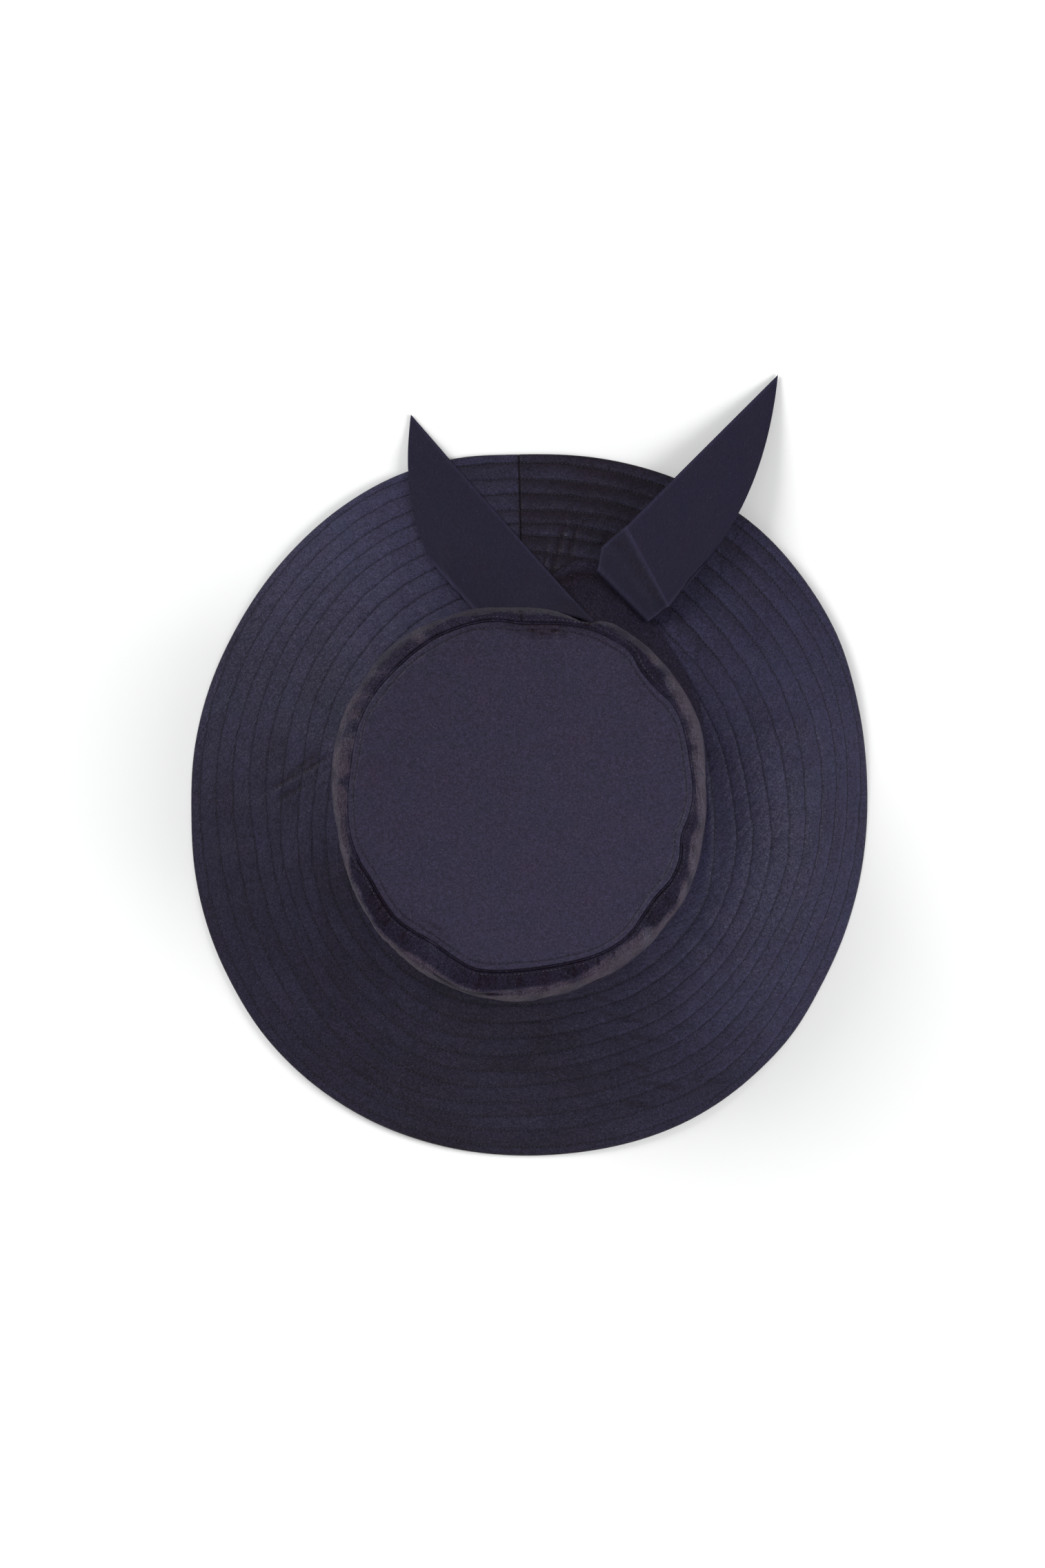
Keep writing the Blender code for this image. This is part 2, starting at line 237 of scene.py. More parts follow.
# Closed cloth ring: places is (steps round, points round the section, 3). The section runs from the outer
# edge over the top, inwards, and back along the underside. The UV is metres round and across.
def clothRing(name, places, clocks, roundRadius, across, shade, paintedSheenShare=None):
    steps, points = places.shape[:2]

    def closed(values, lastStep=None, lastPoint=None):
        lastStep = values[:1] if lastStep is None else lastStep
        values = np.concatenate([values, lastStep], 0)
        lastPoint = values[:, :1] if lastPoint is None else lastPoint(values)
        return np.concatenate([values, lastPoint], 1)

    piece = addGrid(name, points, steps, 0.2, closed(places))
    lengthRound = np.radians(clocks)[:, None] * roundRadius
    lastLength = np.radians(clocks[0] + 360) * roundRadius[:1]
    lengthRound = closed(lengthRound, lastLength, lambda values: values[:, -1:])
    setUv(piece, lengthRound, closed(across, None, lambda values: values[:, -1:]))
    setAttribute(piece, "shade", np.clip(closed(shade), 0, 1))
    if paintedSheenShare is not None:
        setAttribute(piece, "paintedSheenShare", np.clip(closed(paintedSheenShare), 0, 1))
    selectOnly(piece)
    bpy.ops.object.mode_set(mode="EDIT")
    bpy.ops.mesh.select_all(action="SELECT")
    bpy.ops.mesh.remove_doubles(threshold=2e-6)
    bpy.ops.mesh.delete_loose()
    bpy.ops.object.mode_set(mode="OBJECT")
    bpy.ops.object.shade_smooth()
    return piece


def applyModifiers(piece):
    selectOnly(piece)
    for modifier in list(piece.modifiers):
        bpy.ops.object.modifier_apply(modifier=modifier.name)


def setInputs(tree, node, inputs):
    # each input is given a value, or another node's output to link to
    for socket, value in inputs.items():
        if isinstance(value, bpy.types.NodeSocket):
            tree.links.new(value, node.inputs[socket])
        else:
            node.inputs[socket].default_value = value


def startMaterial(name, values):
    material = bpy.data.materials.new(name)
    material.use_nodes = True
    surface = material.node_tree.nodes["Principled BSDF"]
    setInputs(material.node_tree, surface, values)
    return material, material.node_tree, surface


# Camera
cameraSetup = {
    "lens": 79,
    "sensor": 36,
    "aim": (-0.0021, 0.0140, 0),
    "distance": 1.8,
    "tiltFront": 3.0,
    "tiltRight": 2.5,
}


def addCamera():
    turn = (math.radians(cameraSetup["tiltFront"]), math.radians(cameraSetup["tiltRight"]), 0)
    bpy.ops.object.camera_add(rotation=turn)
    camera = bpy.context.object
    camera.name = "camera"
    camera.data.lens = cameraSetup["lens"]
    camera.data.sensor_fit = "VERTICAL"
    camera.data.sensor_height = cameraSetup["sensor"]
    camera.data.clip_start = 0.05
    lookBack = camera.rotation_euler.to_matrix().col[2]
    for axis in range(3):
        camera.location[axis] = cameraSetup["aim"][axis] + cameraSetup["distance"] * lookBack[axis]
    bpy.context.scene.camera = camera


addCamera()
print("camera placed")

# Lights and floor
lightSetup = {
    "skyStrength": 0.42,
    "skyColour": (0.97, 0.98, 1.0),
    "floorColour": (0.93, 0.93, 0.925),
    # name: clock, elevation, distance, size, power
    "rightSoftbox": (100, 42, 1.9, 0.9, 19),
    "leftSoftbox": (305, 42, 1.9, 0.9, 21),
    "frontFill": (190, 35, 2.2, 1.4, 8),
}


def addSoftbox(name):
    clock, elevation, distance, size, power = lightSetup[name]
    ground = math.cos(math.radians(elevation)) * distance
    way = facing(clock)
    place = (way[0] * ground, way[1] * ground, math.sin(math.radians(elevation)) * distance)
    turn = (math.radians(90 - elevation), 0, math.radians(180 - clock))
    bpy.ops.object.light_add(type="AREA", location=place, rotation=turn)
    light = bpy.context.object
    light.name = name
    light.data.size = size
    light.data.energy = power


def addStudio():
    world = bpy.data.worlds.new("studio")
    bpy.context.scene.world = world
    world.use_nodes = True
    sky = world.node_tree.nodes["Background"]
    sky.inputs["Color"].default_value = (*lightSetup["skyColour"], 1)
    sky.inputs["Strength"].default_value = lightSetup["skyStrength"]
    for name in ("rightSoftbox", "leftSoftbox", "frontFill"):
        addSoftbox(name)
    bpy.ops.object.select_all(action="DESELECT")
    bpy.ops.mesh.primitive_plane_add(size=9, location=(0, 0, 0))
    floor = bpy.context.object
    floor.name = "studioFloor"
    paint = startMaterial("paleFloor", {"Base Color": (*lightSetup["floorColour"], 1), "Roughness": 0.9,
                                        "Specular IOR Level": 0.1})
    floor.data.materials.append(paint[0])
    bpy.context.scene.view_settings.view_transform = "Standard"
    bpy.context.scene.view_settings.look = "None"


addStudio()
print("studio placed")


# Finishes: shared effects as node groups
def addNode(tree, kind, inputs, **settings):
    node = tree.nodes.new("ShaderNode" + kind)
    for name, value in settings.items():
        setattr(node, name, value)
    setInputs(tree, node, inputs)
    return node


def mathNode(tree, operation, *values):
    return addNode(tree, "Math", dict(enumerate(values)), operation=operation).outputs[0]


def noiseNode(tree, vector, **values):
    return addNode(tree, "TexNoise", {"Vector": vector, **values}).outputs[0]


def mixColours(tree, share, first, second, **settings):
    return addNode(tree, "Mix", {0: share, 6: first, 7: second}, data_type="RGBA", **settings).outputs[2]


def startGroup(name, inputs, outputs):
    group = bpy.data.node_groups.new(name, "ShaderNodeTree")
    group.interface.new_socket("Vector", in_out="INPUT", socket_type="NodeSocketVector")
    for label, value in inputs.items():
        group.interface.new_socket(label, in_out="INPUT", socket_type="NodeSocketFloat").default_value = value
    for label in outputs:
        group.interface.new_socket(label, in_out="OUTPUT", socket_type="NodeSocketFloat")
    return group, group.nodes.new("NodeGroupInput").outputs, group.nodes.new("NodeGroupOutput")


# Woven threads: a fine grain along the length, a weaker one across, and uneven dye
def makeWeaveGroup():
    group, given, leave = startGroup("clothWeave", {"Threads": 2600.0, "Slub": 0.5},
                                     ("Height", "Tone", "Hue"))
    vector, threads = given["Vector"], given["Threads"]
    split = addNode(group, "SeparateXYZ", {0: vector})
    streaks = []
    for stretch in ((1.0, 0.40), (0.5, 1.0)):
        join = addNode(group, "CombineXYZ", {})
        for axis, share in enumerate(stretch):
            scaled = mathNode(group, "MULTIPLY", split.outputs[axis], threads)
            setInputs(group, join, {axis: mathNode(group, "MULTIPLY", scaled, share)})
        streaks.append(noiseNode(group, join.outputs[0], Scale=0.6, Detail=2.0, Roughness=0.7))
    clouds = []
    for size, detail in ((70.0, 3.0), (420.0, 2.0)):
        mottle = noiseNode(group, vector, Scale=size, Detail=detail)
        clouds.append(mathNode(group, "SUBTRACT", mottle, 0.5))
    height = mathNode(group, "ADD", streaks[0], mathNode(group, "MULTIPLY", streaks[1], 0.8))
    grain = mathNode(group, "SUBTRACT", height, 0.9)
    # single threads that float light or dark, in two sizes
    for size, strength in ((1.0, 0.8), (0.52, 0.42)):
        scale = mathNode(group, "MULTIPLY", threads, size)
        floats = addNode(group, "TexVoronoi", {"Vector": vector, "Scale": scale})
        random = addNode(group, "SeparateColor", {0: floats.outputs["Color"]})
        pepper = mathNode(group, "POWER", random.outputs[0], 2.0)
        pepper = mathNode(group, "MULTIPLY_ADD", pepper, strength, -strength / 3)
        grain = mathNode(group, "ADD", grain, pepper)
    cloud = mathNode(group, "MULTIPLY", mathNode(group, "ADD", *clouds), given["Slub"])
    drift = noiseNode(group, vector, Scale=55.0, Detail=6.0, Roughness=0.7)
    spread = addNode(group, "MapRange", {"Value": drift, "From Min": 0.3, "From Max": 0.7})
    setInputs(group, leave, {"Height": mathNode(group, "MULTIPLY", height, 0.56),
                             "Tone": mathNode(group, "ADD", grain, cloud),
                             "Hue": spread.outputs[0]})
    return group


# Short slanting puckers between two rows of stitches, from a UV of metres along the rows and rows counted
def makePuckerGroup():
    group, given, leave = startGroup("rowPuckers", {"Slant": 1.4}, ("Height",))
    split = addNode(group, "SeparateXYZ", {0: given["Vector"]})
    along, rowCount = split.outputs[0], split.outputs[1]
    lean = mathNode(group, "MULTIPLY", rowCount, given["Slant"])
    join = addNode(group, "CombineXYZ", {0: mathNode(group, "MULTIPLY_ADD", along, 260.0, lean),
                                         1: mathNode(group, "MULTIPLY", rowCount, 1.3)})
    setInputs(group, leave, {"Height": noiseNode(group, join.outputs[0], Scale=1.0, Detail=2.5)})
    return group


# Sparse pale specks of lint and thread ends
def makeLintGroup():
    group, given, leave = startGroup("paleLint", {"Amount": 0.5, "Spacing": 900.0}, ("Mask",))
    cells = addNode(group, "TexVoronoi", {"Vector": given["Vector"], "Scale": given["Spacing"]})
    near = mathNode(group, "LESS_THAN", cells.outputs["Distance"], 0.20)
    pick = addNode(group, "SeparateColor", {0: cells.outputs["Color"]})
    rare = mathNode(group, "GREATER_THAN", pick.outputs[0], 0.88)
    varied = mathNode(group, "MULTIPLY", mathNode(group, "MULTIPLY", near, rare), pick.outputs[1])
    setInputs(group, leave, {"Mask": mathNode(group, "MULTIPLY", varied, given["Amount"])})
    return group


# Masks for painted shade in a row of stitching: its needle holes and its groove. The UV's U is metres along
# the row and V counts the rows
def makeHolesGroup():
    group, given, leave = startGroup("needleHoles", {"Pitch": 0.002, "Width": 0.06}, ("Mask", "Groove"))
    split = addNode(group, "SeparateXYZ", {0: given["Vector"]})
    turns = mathNode(group, "DIVIDE", split.outputs[0], given["Pitch"])
    holeAlong = mathNode(group, "LESS_THAN", mathNode(group, "PINGPONG", turns, 0.5), 0.13)
    fromRow = mathNode(group, "PINGPONG", split.outputs[1], 0.5)
    holeAcross = mathNode(group, "LESS_THAN", fromRow, given["Width"])
    # the row's groove, as a mask for painted shade
    pressed = addNode(group, "MapRange", {"Value": fromRow, "From Min": 0.055, "From Max": 0.015},
                      interpolation_type="SMOOTHSTEP")
    setInputs(group, leave, {"Mask": mathNode(group, "MULTIPLY", holeAlong, holeAcross),
                             "Groove": pressed.outputs[0]})
    return group


weaveGroup = makeWeaveGroup()
lintGroup = makeLintGroup()
holesGroup = makeHolesGroup()
puckerGroup = makePuckerGroup()

clothFinish = {
    # darkest and lightest tone of the cloth, blended by each piece's shade attribute, which holds painted
    # light and shade
    "darkShade": (0.0080, 0.0049, 0.0104),
    "lightShade": (0.0300, 0.0276, 0.0546),
    "warpDye": (0.93, 1.03, 1.03),
    "weftDye": (1.08, 0.96, 0.97),
    "lintColour": (0.115, 0.108, 0.150),
    "threads": 2200.0,
    "roughness": 0.52,
    "roughnessFall": 0.25,
    "specular": 0.12,
    "sheen": 0.09,
    "sheenTint": (1.0, 0.90, 0.86),
    "sheenRoughness": 0.30,
    "grainDepth": 0.00012,
    "puckerDepth": 0.0005,
    # grain's strength on the darkest cloth, what it loses on the lightest, and the darkest it makes a spot
    "grainOnDark": 1.3,
    "grainFall": 0.45,
    "darkestGrain": 0.15,
    # painted shade in a needle hole and along a row's groove
    "holePaintedShade": 0.5,
    "rowGroovePaintedShade": 0.24,
    "threadColour": (0.012, 0.010, 0.020),
}


# Cloth: threadsFrom is "Object" or "UV". The piece's own "shade" attribute blends the dark colour to the
# light. It holds painted light and shade besides the cloth's own tone, and is fixed on the cloth, so it
# doesn't turn with the light.
def makeCloth(name, threadsFrom="Object", tint=(1, 1, 1), tintBy="shade", tintFrom=0.0, tintTo=0.2,
              darkTint=(1, 1, 1), slub=0.3, lint=0.5, rows=False, sheen=clothFinish["sheen"],
              sheenTint=clothFinish["sheenTint"], specular=clothFinish["specular"], grain=1.0,
              grainDepth=clothFinish["grainDepth"], turn=0.0):
    cloth, tree, surface = startMaterial(name, {
        "Specular IOR Level": specular, "Sheen Weight": sheen, "Sheen Tint": (*sheenTint, 1),
        "Sheen Roughness": clothFinish["sheenRoughness"]})
    places = addNode(tree, "TexCoord", {}).outputs
    threads = addNode(tree, "Mapping", {"Vector": places[threadsFrom],
                                        "Rotation": (0, 0, math.radians(turn))})
    weave = addNode(tree, "Group", {"Vector": threads.outputs[0], "Threads": clothFinish["threads"],
                                    "Slub": slub}, node_tree=weaveGroup).outputs
    specks = addNode(tree, "Group", {"Vector": places["Object"], "Amount": lint}, node_tree=lintGroup).outputs
    shade = addNode(tree, "Attribute", {}, attribute_name="shade").outputs["Fac"]
    darkShade = [part * change for part, change in zip(clothFinish["darkShade"], darkTint)]
    colour = mixColours(tree, shade, (*darkShade, 1), (*clothFinish["lightShade"], 1))
    # the tint comes in where the painted tone is light, or where an attribute of the piece says
    tintShare = addNode(tree, "Attribute", {}, attribute_name=tintBy).outputs["Fac"]
    tinted = addNode(tree, "MapRange", {"Value": tintShare, "From Min": tintFrom, "From Max": tintTo},
                     interpolation_type="SMOOTHSTEP")
    colour = mixColours(tree, tinted.outputs[0], colour, (*tint, 1), blend_type="MULTIPLY")
    # grain lightens and darkens the colour, and more so where the cloth is dark
    strength = mathNode(tree, "MULTIPLY_ADD", shade, -clothFinish["grainFall"] * grain,
                        clothFinish["grainOnDark"] * grain)
    factor = mathNode(tree, "MULTIPLY_ADD", weave["Tone"], strength, 1.0)
    factor = mathNode(tree, "MAXIMUM", factor, clothFinish["darkestGrain"])
    height = weave["Height"]
    if rows:
        holes = addNode(tree, "Group", {"Vector": places["UV"]}, node_tree=holesGroup).outputs
        # painted shade in the needle holes and along the rows' grooves
        keep = mathNode(tree, "MULTIPLY_ADD", holes["Mask"], -clothFinish["holePaintedShade"], 1.0)
        keep = mathNode(tree, "MULTIPLY_ADD", holes["Groove"], -clothFinish["rowGroovePaintedShade"], keep)
        factor = mathNode(tree, "MULTIPLY", factor, keep)
        puckers = addNode(tree, "Group", {"Vector": places["UV"]}, node_tree=puckerGroup).outputs
        depth = clothFinish["puckerDepth"] / grainDepth
        height = mathNode(tree, "MULTIPLY_ADD", puckers["Height"], depth, height)
    # the weft is a little redder than the warp
    dyes = mixColours(tree, weave["Hue"], (*clothFinish["warpDye"], 1), (*clothFinish["weftDye"], 1))
    dyed = addNode(tree, "VectorMath", {0: colour, 1: dyes}, operation="MULTIPLY")
    toned = addNode(tree, "VectorMath", {0: dyed.outputs[0], "Scale": factor}, operation="SCALE")
    relief = addNode(tree, "Bump", {"Strength": 1.0, "Distance": grainDepth, "Height": height})
    setInputs(tree, surface, {
        "Base Color": mixColours(tree, specks["Mask"], toned.outputs[0], (*clothFinish["lintColour"], 1)),
        "Roughness": mathNode(tree, "MULTIPLY_ADD", weave["Tone"], -clothFinish["roughnessFall"],
                              clothFinish["roughness"]),
        "Normal": relief.outputs[0]})
    return cloth


def makeThread(name, light):
    thread, tree, surface = startMaterial(name, {"Specular IOR Level": 0.25, "Sheen Weight": 0.08})
    noise = noiseNode(tree, addNode(tree, "TexCoord", {}).outputs["Object"], Scale=320.0)
    ramp = addNode(tree, "ValToRGB", {0: noise})
    colours = (clothFinish["threadColour"], light)
    for element, place, colour in zip(ramp.color_ramp.elements, (0.46, 0.72), colours):
        element.position = place
        element.color = (*colour, 1)
    setInputs(tree, surface, {"Base Color": ramp.outputs[0],
                              "Roughness": mathNode(tree, "MULTIPLY_ADD", noise, 0.3, 0.3)})
    return thread


brimFinish = makeCloth("brimCloth", rows=True, tint=(0.98, 1.0, 1.08), tintFrom=0.2, tintTo=0.75, lint=0.45,
                       grain=0.95, turn=12)
# the side's tint paints a pinkish sheen on the light, steep cloth at the top of the wall
sideFinish = makeCloth("crownSideCloth", threadsFrom="UV", tint=(1.78, 1.62, 1.20), tintBy="paintedSheenShare",
                       tintTo=1.0, sheen=0.035, sheenTint=(1.0, 0.88, 0.88), specular=0.05)
tipFinish = makeCloth("crownTipCloth", tint=(1.03, 0.97, 0.97), slub=0.10, turn=1, grain=0.85)
tieFinish = makeCloth("tieCloth", threadsFrom="UV", darkTint=(0.98, 1.25, 1.0), lint=0.3,
                      grain=0.3, sheen=0.02, specular=0.04, grainDepth=0.00006)
sashFinish = makeCloth("sashCloth", threadsFrom="UV", darkTint=(1.06, 1.14, 0.90), grain=0.9, sheen=0.03,
                       specular=0.05)
threadFinish = makeThread("darkThread", (0.036, 0.032, 0.052))
crownThreadFinish = makeThread("crownThread", (0.054, 0.050, 0.074))
print("finishes made")


# Stitches: one small rounded stitch, copied along every row
def makeStitch():
    bpy.ops.object.select_all(action="DESELECT")
    bpy.ops.mesh.primitive_ico_sphere_add(subdivisions=1, radius=0.5)
    stitch = bpy.context.object
    places = np.array([v.co[:] for v in stitch.data.vertices])
    faces = np.array([p.vertices[:] for p in stitch.data.polygons])
    bpy.data.objects.remove(stitch)
    return places, faces


stitchPlaces, stitchFaces = makeStitch()


# middles, ways (along the row) and ups are arrays of 3-D vectors; the stitches are joined as one piece
def sewStitches(name, middles, ways, ups, length, width, height, finish):
    ways = ways / np.linalg.norm(ways, axis=1)[:, None]
    sides = np.cross(ups, ways)
    sides = sides / np.linalg.norm(sides, axis=1)[:, None]
    ups = np.cross(ways, sides)
    local = stitchPlaces * np.array([length, width, height])
    places = middles[:, None, :]
    for axis, way in enumerate((ways, sides, ups)):
        places = places + local[None, :, axis:axis + 1] * way[:, None, :]
    count = len(middles)
    faces = (stitchFaces[None] + (np.arange(count) * len(stitchPlaces))[:, None, None]).reshape(-1, 3)
    mesh = bpy.data.meshes.new(name)
    mesh.from_pydata(places.reshape(-1, 3).tolist(), [], faces.tolist())
    mesh.update()
    piece = bpy.data.objects.new(name, mesh)
    bpy.context.scene.collection.objects.link(piece)
    mesh.materials.append(finish)
    selectOnly(piece)
    bpy.ops.object.shade_smooth()
    return piece


# Stitch places along a closed line of points, one every pitch
def spacedAlong(points, pitch):
    points = np.vstack([points, points[:1]])
    runs = np.linalg.norm(np.diff(points, axis=0), axis=1)
    travel = np.concatenate([[0], np.cumsum(runs)])
    count = int(travel[-1] / pitch)
    at = (np.arange(count) + 0.5) * pitch

    def placesAt(lengths):
        return np.stack([np.interp(lengths, travel, points[:, axis]) for axis in range(3)], -1)

    return placesAt(at), placesAt(np.minimum(at + pitch * 0.5, travel[-1])) - placesAt(at - pitch * 0.5)


# Brim
brimLook = {
    "clockSteps": 620,
    "stitchPitch": 0.0020,
    "stitchLength": 0.00165,
    "stitchWidth": 0.00042,
    "stitchHeight": 0.00045,
    "underStitchHeight": 0.0003,
    "grooveDepth": 0.00042,
    "grooveWidth": 0.00042,
    "underGroove": 0.00025,
    "seamClockAtEdge": -1.2,
    "seamClockInside": -0.75,
    "seamDepth": 0.0009,
    "puckerHeight": 0.00013,
    "ridgeHeight": 0.0016,
    "waveHeight": 0.00016,
    "seamLap": 0.00022,
    "rowWander": 0.00018,
    # how far the edge stands past its trim, its rounding, and half the width a row presses down
    "edgeOut": 0.0008,
    "edgeRadius": 0.0012,
    "rowHalfWidth": 0.0009,
    # shares of the cloth's thickness that the upper and the lower face round off at the edge
    "edgeFall": 0.52,
    "edgeRise": 0.34,
    "stitchLift": 0.00010,
    "underStitchLift": 0.00008,
    "lowestStitch": 0.0003,
    # how deep the rows' grooves are, by clock
    "grooveShare": {0: 1.0, 30: 1.0, 60: 0.6, 90: 0.4, 120: 0.4, 150: 0.6, 180: 0.8, 210: 0.9, 240: 0.9,
                    270: 0.7, 300: 0.6, 330: 0.8},
    # puff of the cloth between two rows, by clock, in mm
    "puff": {0: 0.62, 30: 0.55, 60: 0.22, 90: 0.08, 120: 0.08, 150: 0.12, 180: 0.18, 210: 0.18, 240: 0.15,
             270: 0.12, 300: 0.12, 330: 0.22},
    # painted light on the puffed cloth just inside each row, by clock
    "rowLight": {0: 0.0, 30: 0.0, 60: 0.05, 90: 0.16, 120: 0.20, 150: 0.08, 180: 0.0, 210: 0.0, 240: 0.0,
                 270: 0.0, 300: 0.03, 330: 0.06},
    # painted shade along each row, by clock
    "rowShade": {0: 0.20, 30: 0.18, 60: 0.04, 90: 0.0, 120: 0.0, 150: 0.03, 180: 0.06, 210: 0.08,
                 240: 0.08, 270: 0.06, 300: 0.04, 330: 0.06},
    # painted shade on each puffed band: how much it lightens from its outer row in to the next one, by clock
    "bandPaintedShade": {0: 0.19, 30: 0.24, 60: 0.06, 90: -0.07, 120: -0.07, 150: -0.02, 180: 0.03, 210: 0.03,
                 240: 0.0, 270: 0.0, 300: 0.02, 330: 0.08},
    "creaseShade": 0.66,
    "edgeDark": 0.35,
    "seamDark": 0.7,
    "hollowPaintedShade": 0.12,
    # painted light and shade by clock, for the sheen of the cloth's shot threads as they turn
    "paintedLightByClock": {-14: 0.50, -8: 0.33, -1.35: 0.26, -1.05: 0.06, 5: -0.01, 10: -0.08, 20: -0.02,
                   33: 0.35, 48: 0.52, 62: 0.70, 90: 0.90, 112: 0.96, 132: 0.84, 150: 0.58, 170: 0.36,
                   190: 0.27, 208: 0.28, 225: 0.36, 250: 0.44, 280: 0.55, 305: 0.66, 328: 0.90,
                   340: 0.66},
    "bandShade": 0.07,
}

# Rows of stitching: level distance in from the brim's edge, in mm, by clock, from the outermost row inwards
stitchRows = {
    0: (3.4, 12.6, 20.8, 30.0, 37.4, 44.0, 53.0, 62.0, 70.5, 79.0),
    20: (5.4, 14.0, 22.0, 30.2, 38.5, 46.0, 56.2, 65.5, 74.5, 83.0),
    40: (4.1, 12.9, 21.8, 31.4, 40.8, 50.8, 61.5, 72.2, 80.5, 87.0),
    60: (2.8, 11.0, 19.0, 29.0, 38.5, 49.5, 59.5, 70.0, 78.8, 85.2),
    80: (1.9, 9.2, 15.2, 23.3, 33.0, 43.0, 54.0, 64.0, 71.8, 80.8),
    100: (2.8, 9.5, 16.0, 22.8, 30.0, 37.5, 46.5, 56.0, 64.5, 75.5),
    120: (3.7, 11.7, 18.3, 25.5, 33.0, 39.2, 46.5, 54.5, 62.8, 71.3),
    140: (1.6, 9.8, 18.0, 25.5, 34.7, 42.3, 50.0, 58.2, 67.2, 75.2),
    160: (3.2, 12.8, 21.6, 29.4, 38.2, 45.3, 54.0, 62.2, 70.7, 78.2),
    180: (3.0, 12.0, 19.5, 26.8, 35.5, 43.0, 51.7, 60.5, 68.5, 77.0),
    200: (3.5, 10.0, 16.3, 22.5, 31.5, 40.0, 48.0, 57.0, 65.8, 75.3),
    220: (3.2, 11.0, 18.5, 26.5, 35.3, 43.5, 52.0, 59.8, 68.5, 75.5),
    240: (4.6, 13.7, 23.0, 32.2, 40.8, 47.5, 54.2, 61.0, 68.3, 78.0),
    260: (4.5, 14.0, 23.8, 33.5, 41.7, 47.5, 56.5, 64.0, 71.8, 80.0),
    280: (3.2, 11.8, 20.8, 30.0, 39.3, 48.8, 59.0, 67.3, 74.8, 80.5),
    300: (2.5, 11.7, 20.5, 28.7, 38.0, 47.0, 56.2, 66.3, 75.2, 80.5),
    320: (3.5, 11.7, 20.3, 28.0, 36.0, 46.5, 56.0, 66.5, 76.3, 83.5),
    340: (1.8, 10.0, 19.3, 27.0, 35.5, 44.5, 54.0, 64.0, 74.5, 83.0),
}
# How far the brim's edge stands off the pattern's outline, in mm, by clock
edgeTrim = {0: 0.5, 10: 0.4, 20: 0.2, 30: 0.5, 40: 1.2, 50: 0.8, 60: 0.7, 70: -0.1, 80: 0.4, 90: 1.2,
            100: 1.5, 110: 1.3, 120: 1.2, 130: 2.2, 140: 1.4, 150: 0.8, 160: 0.4, 170: 0.3, 180: 0.6,
            190: 0.5, 200: 0.2, 210: 0.3, 220: 0.8, 230: 1.1, 240: 0.5, 250: 0.7, 260: 0.9, 270: 0.5,
            280: 1.2, 290: 1.0, 300: 0.3, 310: -0.1, 320: -0.4, 330: 0.2, 340: 1.6, 350: 2.0}

# Soft creases: start and end as (clock, mm in from the edge), depth and width in mm
brimCreases = [
    ((273.5, 38), (286.0, 75), 0.62, 1.3),
    ((277.5, 50), (286.0, 68), 0.48, 1.1),
    ((271.0, 44), (277.0, 62), 0.36, 1.4),
    ((7.8, 37), (6.4, 67), 1.20, 1.3),
    ((10.4, 36), (9.8, 56), 0.90, 1.1),
    ((5.0, 50), (4.6, 66), 0.60, 1.0),
    ((17.0, 38), (16.4, 46), 0.60, 0.9),
    ((144.0, 4), (148.0, 19), 0.30, 1.5),
    ((150.0, 13), (158.0, 29), 0.38, 1.7),
    ((156.0, 11), (162.0, 22), 0.28, 1.5),
    ((147.5, 37), (156.5, 54), 0.35, 1.8),
    ((154.5, 30), (160.5, 44), 0.28, 1.5),
    ((150.0, 54), (160.6, 69), 0.38, 1.8),
    ((156.0, 48), (163.0, 60), 0.28, 1.5),
    ((154.0, 68), (161.0, 79), 0.30, 1.5),
    ((141.5, 36), (146.5, 47), 0.25, 1.5),
    ((45.9, 63), (50.6, 72), 0.30, 1.1),
    ((40.0, 64), (43.1, 72), 0.30, 1.1),
    ((50.3, 32), (53.1, 38), 0.28, 1.0),
    ((86.9, 4), (90.0, 6), 0.30, 0.8),
    ((36.5, 14), (39.0, 28), 0.25, 1.2),
    ((98.5, 53), (99.5, 60), 0.25, 0.8),
]


def brimClocks():
    # even steps round from the back seam, and closer ones beside it
    steps = brimLook["clockSteps"]
    even = 360 * np.arange(steps) / steps
    nearSeam = np.array([-1.8, -1.1, -0.6, -0.32, -0.16, -0.06, 0.06, 0.16, 0.32, 0.6, 1.1, 1.8])
    apart = np.minimum(np.abs(even % 360), 360 - even % 360)
    even = even[apart > 2.0]
    return np.sort(np.concatenate([even, nearSeam[nearSeam > 0], nearSeam[nearSeam < 0] + 360]))


def sewRows(name, lines, face, stitchHeight):
    sewn = [spacedAlong(line, brimLook["stitchPitch"]) for line in lines]
    middles, ways = np.vstack([spots for spots, along in sewn]), np.vstack([along for spots, along in sewn])
    clock = clockOf(middles)
    slope = brimSlope(clock, np.hypot(middles[:, 0], middles[:, 1]))
    ups = face * level(facing(clock) * slope[:, None], 1.0)
    return sewStitches(name, middles, ways, ups, brimLook["stitchLength"], brimLook["stitchWidth"],
                       stitchHeight, threadFinish)


